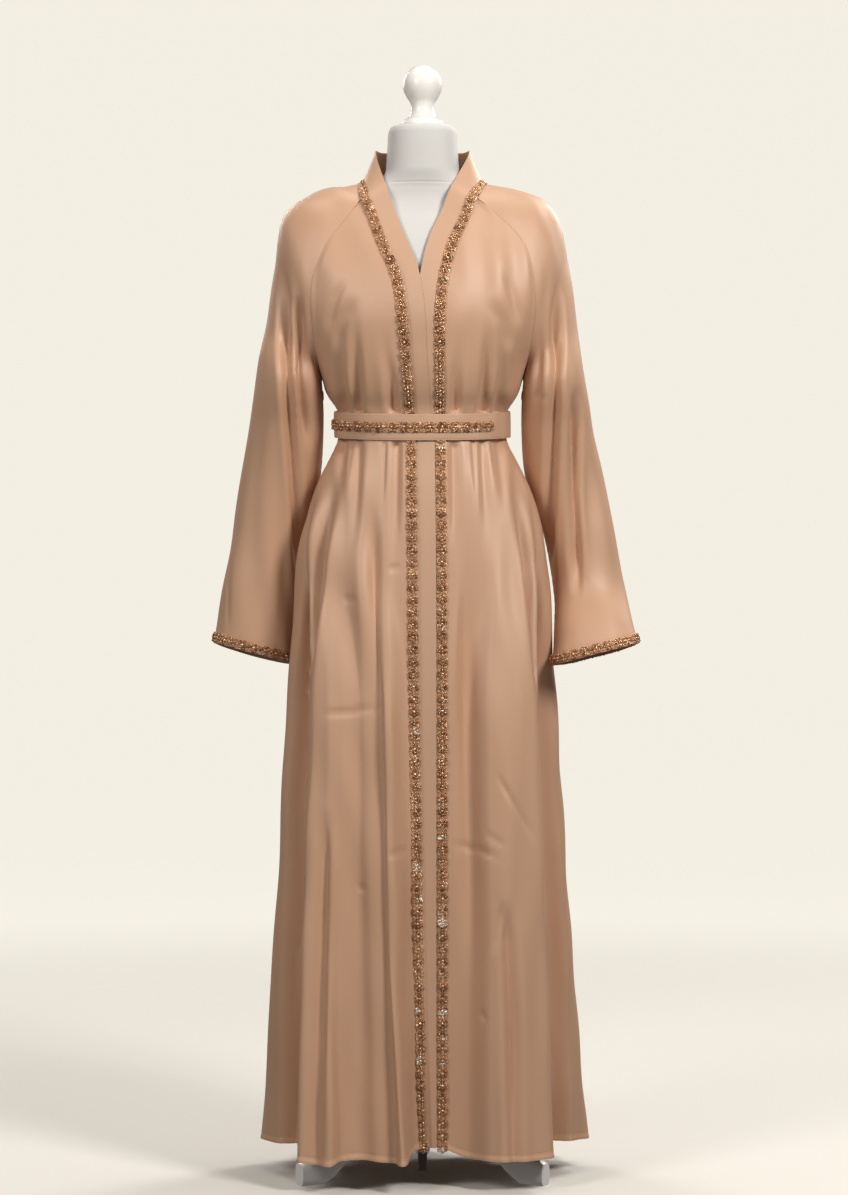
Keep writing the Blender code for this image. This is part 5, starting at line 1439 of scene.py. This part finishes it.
def along_path(name, path, away, tree, sizes, finish, closed=False):
    """Plain mesh of what a geometry tree lays along a path on the cloth."""
    placed = path + np.array([MIDLINE_X, MIDLINE_Y, 0.0])
    count = len(placed)
    edges = [(i, i + 1) for i in range(count - 1)] + ([(count - 1, 0)] if closed else [])
    guide = bpy.data.meshes.new(name + "_guide")
    guide.from_pydata(placed.tolist(), edges, [])
    ahead = np.gradient(path, axis=0)
    if closed:
        ahead = np.roll(path, -1, axis=0) - np.roll(path, 1, axis=0)
    ahead /= np.linalg.norm(ahead, axis=1, keepdims=True)
    for label, values in (("away", away), ("ahead", ahead)):
        attribute = guide.attributes.new(label, "FLOAT_VECTOR", "POINT")
        attribute.data.foreach_set("vector", values.astype(np.float32).ravel())
    holder = bpy.data.objects.new(name + "_guide", guide)
    bpy.context.collection.objects.link(holder)
    modifier = holder.modifiers.new("along", "NODES")
    modifier.node_group = tree
    for item in tree.interface.items_tree:
        if item.in_out == "INPUT" and item.name in sizes:
            modifier[item.identifier] = sizes[item.name]
        elif item.in_out == "INPUT" and item.name == "Finish":
            modifier[item.identifier] = finish
    shown = holder.evaluated_get(bpy.context.evaluated_depsgraph_get())
    mesh = bpy.data.meshes.new_from_object(shown)
    mesh.name = name
    bpy.data.objects.remove(holder, do_unlink=True)
    bpy.data.meshes.remove(guide)
    piece = bpy.data.objects.new(name, mesh)
    bpy.context.collection.objects.link(piece)
    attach(piece, "root")
    return piece


def lay_on(trees, points, lift):
    """Points moved to the nearest cloth and out from it, with the cloth's direction at each."""
    placed = []
    away = []
    for point in points:
        hits = [tree.find_nearest(Vector(point)) for tree in trees]
        hits = [hit for hit in hits if hit[0] is not None]
        place, normal, _, _ = min(hits, key=lambda hit: hit[3])
        placed.append(np.array(place) + np.array(normal) * lift)
        away.append(np.array(normal))
    return np.array(placed), np.array(away)


def evened(values, reach, closed=False):
    """Running mean of directions along a path."""
    mode = "wrap" if closed else "edge"
    padded = np.pad(values, [(reach, reach), (0, 0)], mode=mode)
    total = sum(padded[i:i + len(values)] for i in range(2 * reach + 1))
    return total / np.linalg.norm(total, axis=1, keepdims=True)


def tape_grid(trees, path, away, half_width, lift, outward, closed=False):
    """Tape laid on the cloth along a path, with lightly scalloped edges."""
    ahead = np.gradient(path, axis=0)
    if closed:
        ahead = np.roll(path, -1, axis=0) - np.roll(path, 1, axis=0)
    across = np.cross(away, ahead)
    across /= np.linalg.norm(across, axis=1, keepdims=True)
    run = np.concatenate([[0.0], np.cumsum(np.linalg.norm(np.diff(path, axis=0), axis=1))])
    scallop = 1 - SCALLOP * np.sin(run / BEAD_PITCH * math.pi) ** 2
    columns = []
    for share in np.linspace(-1, 1, TAPE_COLUMNS) * outward:
        flat = path + across * (share * half_width * scallop)[:, None]
        columns.append(lay_on(trees, flat, lift)[0])
    return np.stack(columns, axis=1)


def resampled(path, step, closed=False):
    if closed:
        path = np.vstack([path, path[:1]])
    run = np.concatenate([[0.0], np.cumsum(np.linalg.norm(np.diff(path, axis=0), axis=1))])
    count = max(int(run[-1] / step), 4)
    at = np.linspace(0, run[-1], count + 1)
    if closed:
        at = at[:-1]
    return np.stack([np.interp(at, run, path[:, i]) for i in range(3)], axis=1)


def bead_sizes():
    return {"Pitch": BEAD_PITCH, "Petal Reach": PETAL_REACH, "Ring Radius": RING_RADIUS,
            "Ring Wire": RING_WIRE, "Bead Radius": BEAD_RADIUS, "Centre Radius": CENTRE_RADIUS,
            "Notch Step": NOTCH_STEP, "Lift": RING_LIFT}


def stitch_sizes():
    return {"Pitch": STITCH_PITCH, "Length": STITCH_LENGTH, "Radius": STITCH_RADIUS}


def away_of(grid, path, away):
    """Direction out of the cloth at each of a tape's columns."""
    count = grid.shape[1] - len(path)
    return np.concatenate([away, away[:count]])[None]


def lay_trim(name, node, trees, path, finishes, trees_of, closed=False, on=()):
    """Beaded trim: a woven tape with its rings and beads, along a path on the cloth."""
    path = resampled(path, 0.0023, closed)
    path, away = lay_on(trees, path, 0.0)
    away = evened(away, 4, closed)
    grid = tape_grid(trees, path, away, TRIM_WIDTH / 2, TRIM_GAP + TAPE_THICK, 1, closed)
    if closed:
        grid = np.concatenate([grid, grid[:1]], axis=0)
    grid = grid.transpose(1, 0, 2)
    facing = (grid_normals(grid) * away_of(grid, path, away)).sum()
    tape = Cloth(grid, 1 if facing > 0 else -1, closed_from=0 if closed else None)
    new_cloth(name + "_tape", node, tape, finishes["tape"], thick=TAPE_THICK)
    raised = path + away * (TRIM_GAP + TAPE_THICK)
    return along_path(name + "_beads", raised, away, trees_of["beading"], bead_sizes(),
                      finishes["beading"], closed)


def lay_stitches(name, trees, path, lift, finishes, trees_of, closed=False):
    path = resampled(path, 0.004, closed)
    path, away = lay_on(trees, path, lift)
    return along_path(name, path, evened(away, 2, closed), trees_of["stitches"], stitch_sizes(),
                      finishes["thread"], closed)


def lofted(name, node, rings, finish):
    """Smooth solid through rings, in place of its CAD node."""
    count = len(rings[0])
    points = np.vstack(rings)
    faces = []
    for i in range(len(rings) - 1):
        for j in range(count):
            k = (j + 1) % count
            faces.append((i * count + j, i * count + k, (i + 1) * count + k, (i + 1) * count + j))
    top = (len(rings) - 1) * count
    faces.append(tuple(range(count))[::-1])
    faces.append(tuple(top + j for j in range(count)))
    piece = new_piece(name, points, faces, finish)
    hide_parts(node)
    return piece


def turned(profile, sides):
    """Rings round the stand's upright axis, from pairs of height and radius."""
    turns = np.linspace(0, 2 * math.pi, sides, endpoint=False)
    return [np.column_stack([r * np.cos(turns), r * np.sin(turns), np.full(sides, z)]) for z, r in profile]


def rounded_ends(low, high, radius, bevel):
    """Profile of an upright rod with rounded rims."""
    corner = np.linspace(0, math.pi / 2, 5)
    foot = [(low + bevel - bevel * math.cos(a), radius - bevel + bevel * math.sin(a)) for a in corner]
    head = [(high - bevel + bevel * math.sin(a), radius - bevel + bevel * math.cos(a)) for a in corner]
    return foot + head


def dress_form(finishes):
    heights = column(FORM_RINGS, "z")
    fine = np.unique(np.concatenate([
        np.linspace(heights[0], heights[-1], 130), np.linspace(1.440, 1.475, 30),
        np.linspace(1.525, 1.539, 14)]))
    names = ("half_width", "front", "back")
    sizes = {name: monotone(heights, column(FORM_RINGS, name), fine) for name in names}
    turns = np.linspace(0, 2 * math.pi, FORM_COLUMNS, endpoint=False)
    rings = []
    for i, z in enumerate(fine):
        seam = -NECK_SEAM_DEPTH * math.exp(-((z - NECK_SEAM_Z) / NECK_SEAM_WIDTH) ** 2)
        depth = np.where(np.sin(turns) > 0, sizes["back"][i], sizes["front"][i]) + seam
        x = (sizes["half_width"][i] + seam) * np.sign(np.cos(turns)) * np.abs(np.cos(turns)) ** FORM_POWER
        y = depth * np.sign(np.sin(turns)) * np.abs(np.sin(turns)) ** FORM_POWER
        rings.append(np.column_stack([x, y, np.full(FORM_COLUMNS, z)]))
    return lofted("dress_form", "form_body", rings, finishes["jersey"])


def stand(finishes):
    white = finishes["lacquer"]
    top = [(FINIAL_TOP_Z, FINIAL_TOP_RADIUS)]
    profile = np.array([(row["z"], row["radius"]) for row in FINIAL_PROFILE] + top)
    run = np.concatenate([[0.0], np.cumsum(np.linalg.norm(np.diff(profile, axis=0), axis=1))])
    fine = spline(run, profile, np.linspace(0, run[-1], 64))
    lofted("finial_knob", "finial", turned(fine, FINIAL_SIDES), white)
    low = HUB_HIGH_Z + SEAM_GAP
    high = FORM_RINGS[0]["z"] - SEAM_GAP
    pole = turned(rounded_ends(low, high, POLE_RADIUS, 0.001), POLE_SIDES)
    lofted("stand_pole", "pole", pole, white)
    hub = rounded_ends(HUB_LOW_Z, HUB_HIGH_Z, HUB_RADIUS, 0.004)
    lofted("stand_hub", "hub", turned(hub, HUB_SIDES), white)
    tip = rounded_ends(TIP_LOW_Z, HUB_LOW_Z - SEAM_GAP, TIP_RADIUS, 0.0012)
    lofted("centre_post", "post_tip", turned(tip, TIP_SIDES), finishes["dark_steel"])
    start = HUB_RADIUS + SEAM_GAP
    span = LEG_REACH - start
    upper = np.array([(min(row["upper"][0], span), row["upper"][1]) for row in LEG_PROFILE])
    lower = np.array([(min(row["lower"][0], span), row["lower"][1]) for row in LEG_PROFILE])
    knots = np.arange(len(LEG_PROFILE), dtype=float)
    at = np.linspace(0, knots[-1], 60)
    upper = spline(knots, upper, at)
    lower = spline(knots, lower, at)
    lower[:, 1] = np.maximum(lower[:, 1], 0.0)
    around = np.linspace(0, 2 * math.pi, 28, endpoint=False)
    wide = np.sign(np.cos(around)) * np.abs(np.cos(around)) ** LEG_ROUNDING
    tall = np.sign(np.sin(around)) * np.abs(np.sin(around)) ** LEG_ROUNDING
    for node, angle in LEG_ANGLES.items():
        heading = math.radians(angle)
        out = np.array([math.sin(heading), -math.cos(heading), 0.0])
        across = np.array([math.cos(heading), math.sin(heading), 0.0])
        rings = []
        for (reach_up, z_up), (reach_low, z_low) in zip(upper, lower):
            reach = start + (reach_up + reach_low) / 2 + tall * (reach_up - reach_low) / 2
            z = (z_up + z_low) / 2 + tall * (z_up - z_low) / 2
            sideways = across * (wide * LEG_WIDTH / 2)[:, None]
            rings.append(out * reach[:, None] + sideways + np.array([0, 0, 1]) * z[:, None])
        lofted("stand_" + node, node, rings, white)


def join_seam(grid, closed_from, seam):
    """Bring the open edges of a sleeve onto the edges of the front and back, with the cloth beside them."""
    grid = grid.copy()
    rows = slice(0, closed_from)
    run = lengths(grid, 1)[rows]
    for edge, reach in ((0, run), (-1, run[:, -1:] - run)):
        gap = seam[None] - grid[rows, edge][:, None]
        shift = gap[np.arange(closed_from), np.linalg.norm(gap, axis=-1).argmin(axis=1)]
        shift *= (np.linalg.norm(shift, axis=1) < SEAM_REACH)[:, None]
        grid[rows] += shift[:, None] * smooth(1 - reach / SEAM_BLEND)[..., None]
    return grid


def garment(finishes, trees_of):
    """Every cloth piece, and the trims and stitches that lie on it."""
    panels = {side: fine_panel(side) for side in ("right", "left", "back")}
    edges = [grid[:, edge] for grid in panels.values() for edge in (0, -1)]
    seam = np.concatenate([resampled(edge, SEAM_STEP) for edge in edges])
    sleeves = {}
    for side in ("right", "left"):
        grid, closed_from = fine_sleeve(side)
        sleeves[side] = join_seam(grid, closed_from, seam), closed_from
    bands = {side: fine_band(side) for side in ("right", "left")}
    cloths = {}
    for side, sign in (("right", -1), ("left", 1)):
        grid = pull(pull(pull(panels[side], "first_column"), "last_column"), "last_row")
        cloths["front_" + side] = Cloth(grid, sign)
        grid, closed_from = sleeves[side]
        open_rows = slice(0, closed_from)
        grid = pull(pull(grid, "first_row"), "first_column", rows=open_rows)
        grid = pull(grid, "last_column", rows=open_rows)
        cloths["sleeve_" + side] = Cloth(grid, -sign, closed_from=closed_from)
        cloths["band_" + side] = Cloth(pull(pull(bands[side], "first_column"), "last_row"), -sign)
    cloths["back"] = Cloth(pull(pull(pull(panels["back"], "first_column"), "last_column"), "last_row"), 1)
    share_normals(list(cloths.values()))
    for name, cloth in cloths.items():
        if name.startswith("band"):
            new_cloth(name + "_cloth", name, cloth, finishes["band_satin"])
        else:
            new_cloth(name + "_cloth", name, cloth, finishes["satin"])
    trees = {name: cloth.tree() for name, cloth in cloths.items()}
    for side in ("right", "left"):
        near = [trees[name + "_" + side] for name in ("front", "sleeve", "band")] + [trees["back"]]
        path = bands[side][:, 0]
        lay_trim("trim_" + side, "trim_" + side, near, path, finishes, trees_of,
                 on=["band_" + side + "_cloth"])
        grid, closed_from = sleeves[side]
        cuff = grid[:, :-1]
        run = lengths(grid, 0)[:, :-1]
        cuff_path = np.array([
            [np.interp(run[-1, j] - CUFF_TRIM_HEIGHT / 2, run[:, j], cuff[:, j, k]) for k in range(3)]
            for j in range(cuff.shape[1])])
        lay_trim("cuff_trim_" + side, "cuff_trim_" + side, [trees["sleeve_" + side]], cuff_path, finishes,
                 trees_of, closed=True, on=["sleeve_" + side + "_cloth"])
        lay_stitches("cuff_stitches_" + side, [trees["sleeve_" + side]], cuff_path + [0, 0, 0.0125], 0.0001,
                     finishes, trees_of, closed=True)
    for name in ("front_right", "front_left", "back"):
        side = name.split("_")[-1]
        lay_stitches("hem_stitches_" + side, [trees[name]], panels[side][4], 0.0001, finishes, trees_of)


def belt(finishes, trees_of):
    turns = np.linspace(-math.pi, math.pi, BELT_COLUMNS + 1)
    edges = belt_grid(BELT_LOW_Z, BELT_HIGH_Z, turns, BELT_OFFSET + WALL)
    share = np.linspace(0, 1, 15)[:, None, None]
    grid = edges[0] * (1 - share) + edges[1] * share
    away = grid_normals(grid)
    swell = BELT_SWELL * np.clip(np.sin(np.pi * share[..., 0]) * 3, 0, 1)
    wave = waves(grid[..., 0] + 2 * grid[..., 1], grid[..., 2] * 3, seed=5, size=0.00022)
    grid = grid + away * (swell + wave)[..., None]
    grid[:, -1] = grid[:, 0]
    cloth = Cloth(grid, 1, closed_from=0)
    new_cloth("belt_cloth", "belt", cloth, finishes["band_satin"])
    tree = [cloth.tree()]
    centre = grid[7]
    chosen = (turns <= math.radians(BELT_TRIM_FROM)) & (turns >= math.radians(BELT_TRIM_TO))
    lay_trim("belt_trim", "belt_trim", tree, centre[chosen], finishes, trees_of, on=["belt_cloth"])
    for name, row in (("low", 1), ("high", 13)):
        lay_stitches("belt_stitches_" + name, tree, grid[row, :-1], 0.0001, finishes, trees_of, closed=True)


def room():
    """Pale paper all round: a floor that bends up into a far wall, which glows evenly and lights no cloth."""
    made, graph, shader = finish_graph("pale_paper")
    place = graph.add("ShaderNodeTexCoord", out=3)
    flat = graph.add("ShaderNodeMapping", Vector=place, Scale=(1.0, 1.0, 0.0))
    reach = graph.add("ShaderNodeVectorMath", dict(operation="LENGTH"), out=1, at_0=flat)
    far = graph.add("ShaderNodeMapRange", dict(interpolation_type="SMOOTHSTEP"), Value=reach,
                    From_Min=GLOW_FROM, From_Max=GLOW_FULL)
    set_shader(graph, shader, Base_Color=mixed(graph, far, PAPER_NEAR, PAPER_FAR))
    set_shader(graph, shader, Emission_Color=mixed(graph, far, (0.0, 0.0, 0.0), PAPER_GLOW))
    shader.inputs["Emission Strength"].default_value = 1.0
    shader.inputs["Roughness"].default_value = 0.8
    shader.inputs["Specular IOR Level"].default_value = 0.1
    bends = np.linspace(0, math.pi / 2, 16)
    bend = [(PAPER_REACH + COVE * math.sin(a), COVE - COVE * math.cos(a)) for a in bends]
    profile = [(GLOW_FROM * k / 4.0, 0.0) for k in range(1, 5)] + bend + [(PAPER_REACH + COVE, PAPER_TOP)]
    turns = np.linspace(0, 2 * math.pi, PAPER_SIDES, endpoint=False)
    points = [(r * math.cos(t), r * math.sin(t), z) for r, z in profile for t in turns] + [(0.0, 0.0, 0.0)]
    faces = [(len(points) - 1, j, (j + 1) % PAPER_SIDES) for j in range(PAPER_SIDES)]
    for i in range(len(profile) - 1):
        for j in range(PAPER_SIDES):
            k = (j + 1) % PAPER_SIDES
            faces.append((i * PAPER_SIDES + j, (i + 1) * PAPER_SIDES + j, (i + 1) * PAPER_SIDES + k,
                          i * PAPER_SIDES + k))
    mesh = bpy.data.meshes.new("paper")
    mesh.from_pydata(points, [], faces)
    mesh.materials.append(made)
    mesh.shade_smooth()
    paper = bpy.data.objects.new("paper", mesh)
    bpy.context.collection.objects.link(paper)
    paper.visible_diffuse = False
    paper.visible_glossy = False


def soft_light(name, place, aim, size, power, colour):
    data = bpy.data.lights.new(name, "AREA")
    data.shape = "RECTANGLE"
    data.size = size[0]
    data.size_y = size[1]
    data.energy = power
    data.color = colour
    lamp = bpy.data.objects.new(name, data)
    lamp.location = place
    lamp.rotation_euler = (Vector(aim) - Vector(place)).to_track_quat("-Z", "Y").to_euler()
    bpy.context.collection.objects.link(lamp)


def studio():
    room()
    world = bpy.data.worlds.new("studio")
    world.use_nodes = True
    world.node_tree.nodes["Background"].inputs["Color"].default_value = (1.0, 0.96, 0.91, 1.0)
    world.node_tree.nodes["Background"].inputs["Strength"].default_value = WORLD_LIGHT
    bpy.context.scene.world = world
    bpy.context.scene.view_settings.view_transform = "Standard"
    for row in LIGHTS:
        soft_light(**row)
    data = bpy.data.cameras.new("camera")
    data.lens = LENS_MM
    data.sensor_width = SENSOR_MM
    camera = bpy.data.objects.new("camera", data)
    camera.location = EYE
    camera.rotation_euler = (math.pi / 2, 0.0, 0.0)
    bpy.context.collection.objects.link(camera)
    bpy.context.scene.camera = camera


def main():
    studio()
    finishes = {
        "satin": satin("nude_satin", (0.610, 0.368, 0.236), (0.550, 0.322, 0.200), 0.35),
        "band_satin": satin("nude_satin_band", (0.590, 0.364, 0.238), (0.550, 0.333, 0.212), 0.12),
        "beading": copper_beading(),
        "tape": woven_tape(),
        "thread": thread(),
        "jersey": jersey(),
        "lacquer": lacquer("white_lacquer", (0.86, 0.84, 0.79), (0.90, 0.88, 0.84), 0.26, 0.25),
        # Very dark brown for the centre post's tip under the hub.
        "dark_steel": lacquer("dark_steel", (0.06, 0.035, 0.025), (0.12, 0.07, 0.05), 0.38, 0.1),
    }
    trees_of = {"beading": beading_tree(), "stitches": stitch_tree()}
    dress_form(finishes)
    stand(finishes)
    garment(finishes, trees_of)
    belt(finishes, trees_of)


main()
